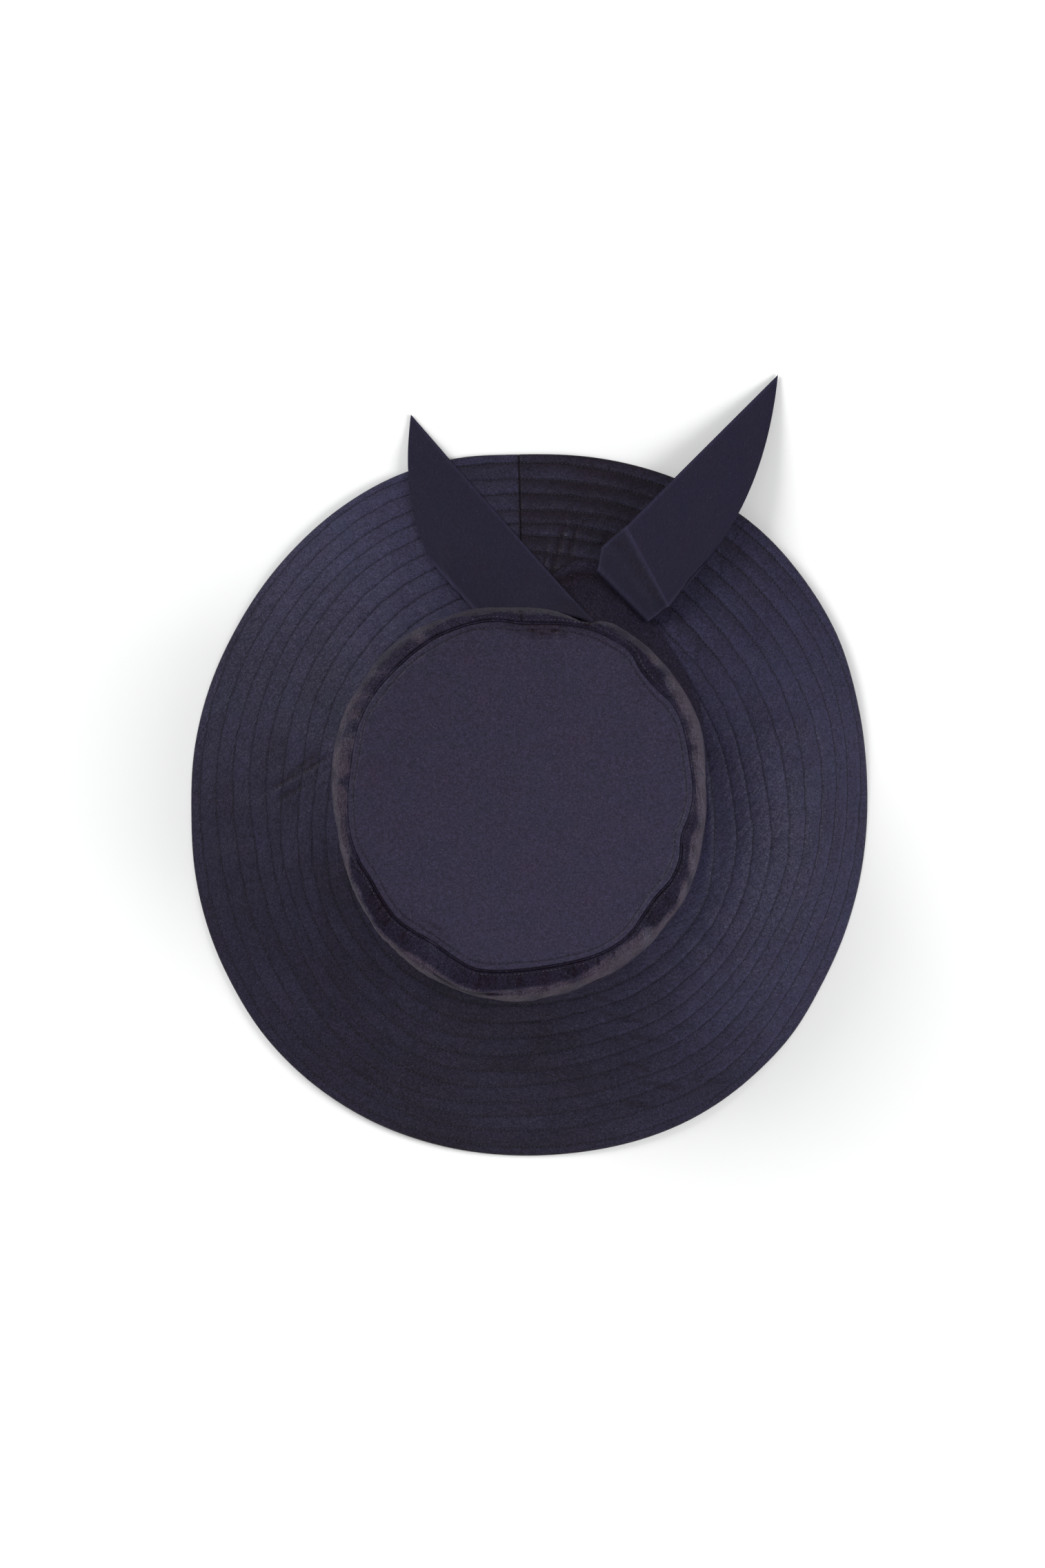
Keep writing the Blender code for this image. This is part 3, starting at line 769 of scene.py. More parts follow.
def makeBrim():
    clocks = brimClocks()
    reach, crown = brimReach(clocks), crownRadius(clocks)
    trim = readRound(edgeTrim, clocks) / 1000
    rows = readRound(stitchRows, clocks) / 1000
    wander = [ripples(clocks, 0.0, 40 + number, (15, 70)) for number in range(rows.shape[1])]
    rows = rows + brimLook["rowWander"] * np.stack(wander, -1)
    cloth = hatPattern["brimCloth"]
    innerEdge = reach + hatPattern["crownWall"]
    outerEdge = -trim - brimLook["edgeOut"]
    half = brimLook["rowHalfWidth"]
    # distances in from the pattern's outline, for the upper face
    inTop = [outerEdge + step for step in (0, 0.00012, 0.0004, 0.0009, 0.0016)]
    last = inTop[-1]
    for number, row in enumerate(rows.T):
        if number:
            for share in (0.3, 0.5, 0.7):
                inTop.append(last + (row - half - last) * share)
        for shift in (-1, -0.5, 0, 0.5, 1):
            inTop.append(row + half * shift)
        last = row + half
    for share in (0.35, 0.7, 1.0):
        inTop.append(last + (innerEdge - last) * share)
    inTop = np.stack(inTop, -1)
    inTop = np.maximum.accumulate(inTop, axis=1)
    inTop = np.minimum(inTop, innerEdge[:, None])
    underShares = np.linspace(0, 1, 44)
    inUnder = innerEdge[:, None] + (outerEdge + 0.0004 - innerEdge)[:, None] * underShares[None]
    near = clocks[:, None] - np.where(clocks[:, None] > 180, 360, 0)

    def leanedClocks(near, inward):
        # the seam leans a little off straight out
        share = np.clip(inward / 0.05, 0, 1)
        atEdge, inside = brimLook["seamClockAtEdge"], brimLook["seamClockInside"]
        return near + (atEdge + (inside - atEdge) * share) * bump(near, 9.0)

    def rowShare(inward):
        # 0, 1, 2 ... at the rows, and the distance to the nearest row
        count = np.zeros(inward.shape)
        nearest = np.full(inward.shape, 1.0)
        for number in range(rows.shape[1]):
            row = rows[:, number, None]
            nearest = np.minimum(nearest, np.abs(inward - row))
            low = rows[:, number - 1, None] if number else row - 0.009
            count = count + np.clip((inward - low) / np.maximum(row - low, 1e-4), 0, 1)
        beyond = np.minimum(np.maximum(0, inward - rows[:, -1:]) / 0.018, 0.9)
        return count - 1 + beyond, nearest

    def shape(inward, face):
        nearSeam = near + 0 * inward
        clock = leanedClocks(nearSeam, inward)
        radius = (crown + reach)[:, None] - inward
        under = brimUnder(clock, radius)
        share, nearest = rowShare(inward)
        fromRow = np.clip(share - np.floor(share), 0, 1)
        pillow = 1 - np.abs(2 * fromRow - 1) ** 2.4
        puff = readRound(brimLook["puff"], clock) / 1000
        groove = bump(nearest, brimLook["grooveWidth"]) * readRound(brimLook["grooveShare"], clock)
        if face > 0:
            height = under + cloth * np.hypot(1, brimSlope(clock, radius))
            height = height + puff * pillow - brimLook["grooveDepth"] * groove
            pucker = ripples(clock, share * 2.3, 7, (60, 130), 5.0) * brimLook["puckerHeight"] * pillow
            fade = smoothStep(0.0, 0.004, inward + brimLook["edgeOut"])
            height = height + pucker * fade * (0.6 + 0.8 * bump(near - 12, 25))
            wave = ripples(clock, share * 0.8, 11, (14, 40), 1.5) * brimLook["waveHeight"]
            height = height + wave * fade
            # back seam: a groove, with the cloth on its right lapped a little higher
            height = height - brimLook["seamDepth"] * bump(nearSeam * radius * degreeArc, 0.00035)
            lap = smoothStep(0.0, 0.25, nearSeam) * (1 - smoothStep(1.5, 4.0, nearSeam))
            height = height + brimLook["seamLap"] * lap
            # ridge fold beside the crown on the right
            strength = smoothStep(74, 84, clock) * (1 - smoothStep(108, 120, clock))
            past = inward - rows[:, -1:]
            height = height + strength * brimLook["ridgeHeight"] * bump(past - 0.0022, 0.0018)
            x, y = np.moveaxis(facing(clock), -1, 0) * radius
            creased = 0 * height
            for start, end, depth, width in brimCreases:
                ends = []
                for creaseClock, creaseIn in (start, end):
                    creaseRadius = crownRadius(creaseClock) + brimReach(creaseClock) - creaseIn / 1000
                    ends.append(facing(creaseClock) * creaseRadius)
                run = ends[1] - ends[0]
                length = np.hypot(*run)
                along = ((x - ends[0][0]) * run[0] + (y - ends[0][1]) * run[1]) / length ** 2
                aside = ((x - ends[0][0]) * run[1] - (y - ends[0][1]) * run[0]) / length
                taper = np.clip(1 - np.abs(2 * along - 1) ** 3, 0, 1) * (np.abs(along - 0.5) < 0.5)
                fold = bump(aside, width / 1000) - 0.55 * bump(aside - 1.9 * width / 1000, width / 1000)
                height = height - fold * taper * depth / 1000
                creased = creased + fold * taper * depth
        else:
            creased = 0 * under
            height = under + brimLook["underGroove"] * groove
            height = height - 0.35 * puff * pillow * smoothStep(0.01, 0.03, under)
            height = height + brimLook["underGroove"] * bump(nearSeam * radius * degreeArc, 0.0004)
        return clock, radius, height, share, creased

    clockTop, radiusTop, heightTop, shareTop, creaseTop = shape(inTop, 1)
    clockUnder, radiusUnder, heightUnder, shareUnder, creaseUnder = shape(inUnder, -1)
    # rounded edge: the upper face comes down to the middle of the cloth
    edgeIn = inTop - outerEdge[:, None]
    heightTop = heightTop - edgeRound(edgeIn, brimLook["edgeRadius"]) * cloth * brimLook["edgeFall"]
    edgeUnder = inUnder - outerEdge[:, None]
    heightUnder = heightUnder + edgeRound(edgeUnder, brimLook["edgeRadius"]) * cloth * brimLook["edgeRise"]
    heightUnder = np.maximum(heightUnder, 0.00005)
    clockAll = np.hstack([clockTop, clockUnder])
    radiusAll = np.hstack([radiusTop, radiusUnder])
    heightAll = np.hstack([heightTop, heightUnder])
    places = level(facing(clockAll) * radiusAll[..., None], heightAll)
    shareAll = np.hstack([shareTop, shareUnder])
    shade = readTable(brimLook["paintedLightByClock"], (clockAll + 14) % 360 - 14)
    bands = np.round(shareAll - 0.5)
    shade = shade + brimLook["bandShade"] * ripples(clockAll, bands * 2.7, 12, (3, 16), 4.0)
    within = shareAll - bands
    shade = shade + readRound(brimLook["bandPaintedShade"], clockAll) * 2 * within
    shade = shade - readRound(brimLook["rowShade"], clockAll) * bump(np.minimum(within, 1 - within), 0.08)
    shade = shade + readRound(brimLook["rowLight"], clockAll) * bump(within - 0.13, 0.07)
    # painted shade in the hollow at the back, between the two tails
    hollow = bump(signed(clockAll) - 9, 7) * bump(radiusAll - crown[:, None] - 0.022, 0.011)
    shade = shade - brimLook["hollowPaintedShade"] * hollow
    seamLine = near * radiusAll * degreeArc * 1000
    edgeGap = np.hstack([edgeIn, edgeUnder])
    shade = shade - brimLook["edgeDark"] * bump(edgeGap, 0.0006)
    creased = np.hstack([creaseTop, creaseUnder])
    # painted shade of the creases: a crease's raised side is lightened less than its hollow is darkened
    creased = np.where(creased > 0, creased, 0.3 * creased)
    # painted shade in the back seam's groove and along the creases
    shade = shade - brimLook["seamDark"] * bump(seamLine, 0.55) - brimLook["creaseShade"] * creased
    brim = clothRing("brimCloth", places, clocks, radiusAll, shareAll, shade)
    brim.data.materials.append(brimFinish)
    # stitches lie in the grooves on both faces
    topLines, underLines = [], []
    for row in rows.T:
        line = places[:, int(np.argmin(np.abs(inTop[0] - row[0])))].copy()
        line[:, 2] += brimLook["stitchLift"]
        topLines.append(line)
        radius = crown + reach - row
        height = np.maximum(brimUnder(clocks, radius) + brimLook["underStitchLift"], brimLook["lowestStitch"])
        underLines.append(level(facing(clocks) * radius[:, None], height))
    stitches = sewRows("brimStitches", topLines, 1, brimLook["stitchHeight"])
    under = sewRows("underStitches", underLines, -1, brimLook["underStitchHeight"])
    print("brim made,", len(brim.data.polygons), "faces and", len(stitches.data.polygons), "stitch faces")
    return brim, stitches, under


brim, brimStitches, underStitches = makeBrim()

# Crown side
sideLook = {
    "clockSteps": 720,
    # radius that the threads are measured round
    "threadRadius": 0.095,
    # length of one degree of clock at the seam, in mm
    "degreeLength": 1.62,
    # pattern of the wall: share of the height: share of the way from the tip's outline to the foot's
    "wall": {0.00: 1.00, 0.25: 1.06, 0.50: 1.06, 0.72: 0.95, 0.88: 0.72, 0.96: 0.42, 1.00: 0.00},
    # the wall's widest reach by clock, in mm from the hat's middle, where it shows past the tip
    "reach": {0: 96.0, 10: 95.9, 20: 94.8, 30: 98.5, 40: 99.2, 50: 99.2, 60: 98.2, 70: 96.8, 80: 94.1,
              90: 92.8, 100: 93.0, 110: 94.2, 120: 94.9, 130: 95.2, 140: 95.9, 150: 96.2, 160: 96.5,
              170: 97.2, 180: 98.4, 190: 98.2, 200: 97.2, 210: 96.4, 220: 95.1, 230: 93.3, 240: 92.0,
              250: 90.9, 260: 90.4, 270: 91.3, 280: 93.3, 290: 95.2, 300: 97.0, 310: 97.8, 320: 99.3,
              330: 99.3, 340: 97.9, 350: 97.1},
    "widestDepth": 0.30,
    # depths between which the wall is drawn in under the sash, and how far inside the sash's face it then is
    "tuckDepths": (0.34, 0.47),
    "sashGrip": 0.0026,
    # depths over which the painted sheen at the top fades to the plain tone
    "paintedSheenDepths": (0.14, 0.34),
    "plainShade": 0.46,
    # width of the soft shoulder just outside the seam, by clock, in mm
    "shoulder": {0: 1.5, 24: 0.8, 36: 1.0, 44: 3.0, 50: 3.6, 56: 2.0, 62: 1.4, 68: 2.2, 76: 0.8, 90: 0.8,
                 97: 4.0, 110: 4.6, 117: 5.2, 124: 8.6, 131: 8.6, 138: 3.5, 150: 2.0, 157: 4.5, 164: 7.5,
                 180: 8.6, 195: 9.4, 210: 9.6, 222: 9.2, 232: 8.0, 240: 6.6, 247: 4.6, 252: 1.4, 262: 0.8,
                 290: 0.8, 320: 1.2, 345: 1.0, 360: 1.5},
    "seamLevel": 0.00165,
    "wrinkleHeight": 0.00028,
    "fineHeight": 0.00010,
    "seamRidge": 0.00016,
    "seamAllowance": 0.006,
    "grooveDepth": 0.0007,
    # how open the seam's two grooves are, by clock
    "grooveOpen": {0: 0.7, 12: 0.7, 24: 0.3, 60: 0.2, 95: 0.25, 110: 0.6, 128: 0.7, 140: 0.5, 160: 0.8,
                   180: 0.9, 240: 0.9, 254: 0.2, 300: 0.2, 322: 0.8, 345: 0.8, 360: 0.7},
    "stitchOut": 0.0019,
    # how much further out the painted sheen of the steep cloth starts, by clock, in mm
    "steepFrom": {0: 0.6, 18: 0.6, 26: 2.0, 44: 2.2, 50: 1.6, 57: 0.5, 64: 0.0, 330: 0.0, 360: 0.6},
    "foldOut": 2.6,
    "foldShade": 0.70,
    "stitchPitch": 0.0020,
    "stitchLift": 0.00012,
    "stitchSize": (0.0015, 0.00045, 0.00045),
    # how uneven the tone is at the top and further down, and the tones over which the pinkish painted sheen
    # comes in
    "streaks": (0.22, 0.08),
    "paintedSheenShades": (0.30, 0.68),
    # painted sheen of the steep cloth by clock, and painted light and shade of the shoulder
    "steepPaintedSheen": {0: 0.28, 24: 0.30, 35: 0.38, 48: 0.54, 60: 0.74, 75: 0.78, 90: 0.85, 105: 0.75,
                   120: 0.68, 135: 0.75, 150: 0.68, 165: 0.60, 180: 0.62, 195: 0.62, 210: 0.75, 225: 0.62,
                   240: 0.62, 255: 0.60, 270: 0.62, 285: 0.56, 300: 0.48, 315: 0.34, 330: 0.40, 345: 0.28,
                   360: 0.20},
    "shoulderShade": {0: 0.26, 24: 0.24, 36: 0.26, 44: 0.16, 50: 0.18, 58: 0.38, 90: 0.42, 128: 0.24,
                      150: 0.30, 165: 0.18, 185: 0.17, 198: 0.22, 208: 0.36, 218: 0.26, 228: 0.12,
                      240: 0.14, 250: 0.30, 262: 0.50, 300: 0.46, 315: 0.34, 330: 0.30, 360: 0.26},
}

# Section of the seam, from outside inwards: mm from its middle line, share of the groove, share of the ridge
seamSection = [(0.88, 0.25, 0.0), (0.74, 0.85, 0.0), (0.56, 1.0, 0.0), (0.40, 0.5, 0.3), (0.22, 0.0, 1.0),
               (0.0, 0.0, 1.3), (-0.22, 0.0, 1.0), (-0.40, 0.6, 0.3), (-0.54, 1.2, 0.0)]
# Painted shadow in the seam's two grooves: tone lost, by row of that section
seamGroovePaintedShadow = {1: 0.2, 2: 0.4, 3: 0.1, 7: 0.1, 8: 0.4, 9: 0.4}

# Small creases across the side below the seam: clock at the seam, clock at the outer end, mm from the seam at
# its start and end, depth and width in mm
sideCreases = [
    (80.4, 82.6, 0.8, 6.0, 0.60, 0.7),
    (149.2, 149.6, 1.5, 5.0, 0.40, 0.9),
    (154.6, 154.9, 1.2, 5.8, 0.95, 0.8),
    (158.2, 159.0, 4.2, 6.2, 0.60, 0.8),
    (162.4, 162.8, 2.0, 6.8, 0.75, 1.0),
    (171.0, 171.6, 1.4, 6.0, 0.50, 0.8),
    (226.6, 225.9, 1.0, 6.4, 0.85, 0.8),
    (230.9, 230.3, 1.0, 5.8, 0.85, 0.8),
    (236.5, 235.4, 1.0, 4.6, 0.55, 0.7),
    (219.5, 219.0, 1.8, 7.5, 0.45, 0.9),
    (179.6, 180.2, 1.5, 8.0, 0.65, 0.9),
    (191.5, 192.2, 2.5, 9.0, 0.45, 0.9),
    (21.4, 24.6, 0.8, 5.0, 0.80, 0.7),
    (0.9, 0.9, -0.5, 7.0, 0.80, 0.6),
]

# How far the tip's seam stands off the pattern's outline, in mm, by clock about the tip's middle
tipTrim = {0: -1.9, 7.5: -2.3, 15: -2.2, 22.5: -2.0, 30: -2.2, 37.5: -2.0, 45: -5.0, 52.5: -4.3, 60: -1.2,
           67.5: -0.8, 75: -1.3, 82.5: -1.1, 90: -0.4, 97.5: -1.3, 105: -2.8, 112.5: 0.0, 120: 0.4,
           127.5: -1.7, 135: -1.4, 142.5: 0.1, 150: 0.0, 157.5: -0.7, 165: -1.4, 172.5: -1.1, 180: -0.1,
           187.5: 1.6, 195: 2.8, 202.5: 1.0, 210: -0.6, 217.5: 0.3, 225: 1.3, 232.5: 0.4, 240: -0.4,
           247.5: 0.6, 255: 1.0, 262.5: 0.2, 270: -0.7, 277.5: -1.6, 285: -1.5, 292.5: -0.8, 300: -0.9,
           307.5: -1.0, 315: -1.3, 322.5: -1.0, 330: -0.3, 337.5: 0.0, 345: 0.5, 352.5: 0.2}


def tipRadius(clocks):
    return ovalRadius(hatPattern["tipWidth"], hatPattern["tipLength"], clocks) * around(clocks, tipColumn)


def tipPlace(clocks, radius):
    return np.array(hatPattern["tipMiddle"]) + facing(clocks) * radius[..., None]


# the seam's middle line about the tip's middle
def seamRadius(clocks):
    return tipRadius(clocks) + readRound(tipTrim, clocks) / 1000


# the plain wall of the pattern, which the sash is tied against
def wallPlace(clocks, height):
    flare = readTable(sideLook["wall"], height)[..., None]
    foot = facing(clocks) * crownRadius(clocks)[..., None]
    tip = tipPlace(clocks, tipRadius(clocks))
    return level(tip + (foot - tip) * flare, crownFoot + height * hatPattern["crownHeight"])


# the side wall's widest reach by clock, read once at each degree
wholeClocks = np.arange(0, 361, 1.0)
wallHeights = np.linspace(0, 1, 41)
wallGrid = wallPlace(*np.meshgrid(wholeClocks, wallHeights, indexing="ij"))
widestWall = np.hypot(wallGrid[..., 0], wallGrid[..., 1]).max(1)


def sashFace(clocks):
    stand = hatPattern["tieClearance"] + hatPattern["sashCloth"]
    return np.interp(np.asarray(clocks) % 360, wholeClocks, widestWall) + stand


def roundedStep(share, power):
    share = np.clip(share, 0, 1)
    return (1 - (1 - share) ** power) ** (1 / power)


# the cloth wall: depth runs from 0 at the seam to 1 at the foot
def sidePlace(clocks, depth, inset=0.0):
    start = tipPlace(clocks, seamRadius(clocks) + 0.0010 + 0 * depth)
    reach = readRound(sideLook["reach"], clocks) / 1000
    pleat = smoothStep(22.6, 24.6, clocks % 360) * (1 - smoothStep(25, 40, clocks % 360))
    reach = reach + (pleat * 1.6 - 1.3 * bump((clocks % 360) - 20.8, 2.6)) / 1000
    widest = facing(clocks) * reach[..., None]
    foot = facing(clocks) * crownRadius(clocks)[..., None]
    way = widest - start
    length = np.linalg.norm(way, axis=-1)
    shoulder = readTable(sideLook["shoulder"], clocks % 360) / 1000
    part = np.clip(shoulder / length, 0.05, 0.93)
    fall = (0.30 * shoulder + 0.0010) / (hatPattern["crownHeight"] + sideLook["seamLevel"])
    out = part * roundedStep(depth / fall, 2.6)
    out = out + (1 - part) * roundedStep(depth / sideLook["widestDepth"], 2.0)
    flat = start + way * out[..., None]
    # below its widest the wall is held in by the sash, and then comes down to the foot
    held = facing(clocks) * np.minimum(reach, sashFace(clocks) - sideLook["sashGrip"])[..., None]
    tuck = smoothStep(*sideLook["tuckDepths"], depth)[..., None]
    back = smoothStep(0.60, 1.0, depth)[..., None]
    flat = flat + (held - widest) * tuck + (foot - held) * back
    top = crownFoot + hatPattern["crownHeight"] + sideLook["seamLevel"]
    height = top + (crownFoot - top) * depth
    flat = flat - facing(clocks) * (np.asarray(inset) + 0 * depth)[..., None]
    return level(flat, height)


def makeSide():
    steps = sideLook["clockSteps"]
    clocks = 360 * np.arange(steps) / steps - 0.9
    rounded = np.linspace(0, 1, 20) ** 1.35 * 0.062
    depths = np.concatenate([rounded, np.linspace(0.075, 0.48, 28), np.linspace(0.51, 1, 14)])[::-1]
    clockGrid, depthGrid = np.meshgrid(clocks, depths, indexing="ij")
    outer = sidePlace(clockGrid, depthGrid)
    # soft unevenness of the unstiffened wall, and the gathers where the tip is set in
    free = smoothStep(0.0, 0.02, depthGrid) * (1 - smoothStep(0.6, 0.9, depthGrid))
    wrinkle = ripples(clockGrid, depthGrid * 5, 21, (7, 26), 4.0) * sideLook["wrinkleHeight"]
    fine = ripples(clockGrid, depthGrid * 9, 22, (40, 110), 9.0) * sideLook["fineHeight"]
    gather = ripples(clockGrid, depthGrid * 2, 23, (60, 140), 2.0) * sideLook["fineHeight"]
    gather = gather * bump(depthGrid, 0.03)
    push = (wrinkle + fine) * free
    outer[..., :2] += facing(clockGrid) * push[..., None]
    outer[..., 2] += gather + push * bump(depthGrid, 0.05)
    # creases pull the cloth in along short lines
    pulled = 0 * depthGrid
    seam = tipPlace(clockGrid, seamRadius(clockGrid))
    fromSeam = np.linalg.norm(outer[..., :2] - seam, axis=-1) * 1000
    for startClock, endClock, near, far, depth, width in sideCreases:
        share = np.clip((fromSeam - near) / (far - near), 0, 1)
        middle = startClock + (endClock - startClock) * share
        aside = signed(clockGrid - middle) * sideLook["degreeLength"]
        hold = smoothStep(near - 0.4, near + 0.3, fromSeam) * (1 - smoothStep(far - 0.8, far, fromSeam))
        pulled = pulled + bump(aside, width) * hold * (depthGrid < 0.3) * depth
    # a long fold below the front left shoulder
    foldIn = readTable(sideLook["shoulder"], clockGrid % 360) + sideLook["foldOut"]
    strength = smoothStep(183, 187, clockGrid) * (1 - smoothStep(202, 209, clockGrid)) * (depthGrid < 0.4)
    pulled = pulled + 0.9 * strength * bump(fromSeam - foldIn, 0.55)
    outer[..., 2] -= pulled / 1000
    outer[..., :2] -= facing(clockGrid) * (pulled * 0.6 / 1000)[..., None]
    top = crownFoot + hatPattern["crownHeight"]
    seamHigh = top + sideLook["seamLevel"]
    middleLine = seamRadius(clocks)
    groove = sideLook["grooveDepth"] * readTable(sideLook["grooveOpen"], clocks % 360)
    ridge = sideLook["seamRidge"] * (1 + ripples(clocks, 0.0, 25, (20, 60)))
    rim = []
    for run, drop, rise in seamSection:
        rim.append(level(tipPlace(clocks, middleLine + run / 1000), seamHigh - groove * drop + ridge * rise))
    allowance = sideLook["seamAllowance"]
    for run, height in ((-0.0008, top + 0.00005), (-allowance, top - 0.0001), (-allowance, top - 0.0014),
                        (-0.0030, top - 0.0016)):
        rim.append(level(tipPlace(clocks, middleLine + run), height + 0 * middleLine))
    rim = np.stack(rim, 1)
    innerDepths = np.concatenate([np.linspace(0.035, 0.45, 18), np.linspace(0.5, 1, 12)])
    clockIn, depthIn = np.meshgrid(clocks, innerDepths, indexing="ij")
    inner = sidePlace(clockIn, depthIn, hatPattern["crownWall"])
    places = np.concatenate([outer, rim, inner], 1)
    across = travelled(places)
    wholeClock = clocks % 360
    clockAll = wholeClock[:, None] + 0 * across
    edge = readTable(sideLook["shoulder"], wholeClock) + 1.0 + readTable(sideLook["steepFrom"], wholeClock)
    count = outer.shape[1]
    steepness, depthAll = np.ones(across.shape), np.ones(across.shape)
    steepness[:, :count] = smoothStep(0.0, 1.0, (fromSeam - edge[:, None] + 1.4) / 1.8)
    depthAll[:, :count] = depthGrid
    for part in (steepness, depthAll):
        part[:, count:count + rim.shape[1]] = 0.0
    # painted sheen on the steep cloth, fading lower down to the plain tone, and painted light and shade on
    # the shoulder
    plain = smoothStep(*sideLook["paintedSheenDepths"], depthAll)
    steep = readTable(sideLook["steepPaintedSheen"], clockAll)
    steep = steep + (sideLook["plainShade"] - steep) * plain
    gentle = readTable(sideLook["shoulderShade"], clockAll)
    shade = gentle + (steep - gentle) * steepness
    high, low = sideLook["streaks"]
    streak = high - (high - low) * smoothStep(0.10, 0.24, depthAll)
    shade = shade * (1 + streak * ripples(clocks[:, None], across * 260, 24, (8, 60), 1.0))
    # painted shade in the creases and the long fold
    shade[:, :count] -= sideLook["foldShade"] * pulled
    # painted shadow in the two grooves
    for column, dark in seamGroovePaintedShadow.items():
        shade[:, count + column] -= dark * readTable(sideLook["grooveOpen"], wholeClock)
    # share of the pinkish painted sheen: where the cloth is light near the top
    paintedSheenShare = smoothStep(*sideLook["paintedSheenShades"], shade) * (1 - plain)
    threadRadius = sideLook["threadRadius"] + 0 * across
    side = clothRing("crownSideCloth", places, clocks, threadRadius, across, shade, paintedSheenShare)
    side.data.materials.append(sideFinish)
    # the outer row of stitches, close outside the seam
    line = tipPlace(clocks, middleLine + sideLook["stitchOut"])
    wall = outer[:, ::-1]
    heights = []
    for number in range(len(clocks)):
        gaps = np.linalg.norm(wall[number, :, :2] - seam[number, 0], axis=-1)
        heights.append(np.interp(sideLook["stitchOut"], gaps[:24], wall[number, :24, 2]))
    line = level(line, np.array(heights) + sideLook["stitchLift"])
    spots, ways = spacedAlong(line, sideLook["stitchPitch"])
    ups = level(facing(clockOf(spots[:, :2] - np.array(hatPattern["tipMiddle"]))) * 0.45, 1.0)
    stitches = sewStitches("sideStitches", spots, ways, ups, *sideLook["stitchSize"], crownThreadFinish)
    print("crown side made,", len(side.data.polygons), "faces")
    return side, stitches


side, sideStitches = makeSide()

# Crown tip
tipLook = {
    "clockSteps": 600,
    "threadRadius": 0.08,
    "edgeIn": 0.00048,
    "stitchIn": 0.0036,
    "stitchPitch": 0.0020,
    "grooveDepth": 0.00035,
    "edgeRadius": 0.0006,
    "edgeDrop": 0.0011,
    "puckerHeight": 0.00022,
    "swellHeight": 0.00018,
    "stitchLift": 0.00008,
    "stitchSize": (0.0015, 0.00042, 0.00040),
    "shade": 0.72,
    # painted shade in a dent, at the seam's first two lines, and along the stitches' three
    "dentPaintedShade": 0.42,
    "seamDark": (0.45, 0.2),
    "stitchDark": (0.24, 0.50, 0.24),
}


# Soft dents beside the seam: clock, reach in degrees, mm in from the seam, depth in mm
tipDents = [(9, 9, 5.5, 0.9), (214, 8, 6.5, 0.7), (48, 7, 6.0, 0.4), (128, 7, 5.5, 0.4), (4.5, 1.6, 3.4, 0.8),
            (8.0, 1.8, 4.8, 0.9), (12.0, 1.5, 3.2, 0.8), (15.5, 1.2, 4.4, 0.5), (1.0, 1.2, 4.2, 0.5)]


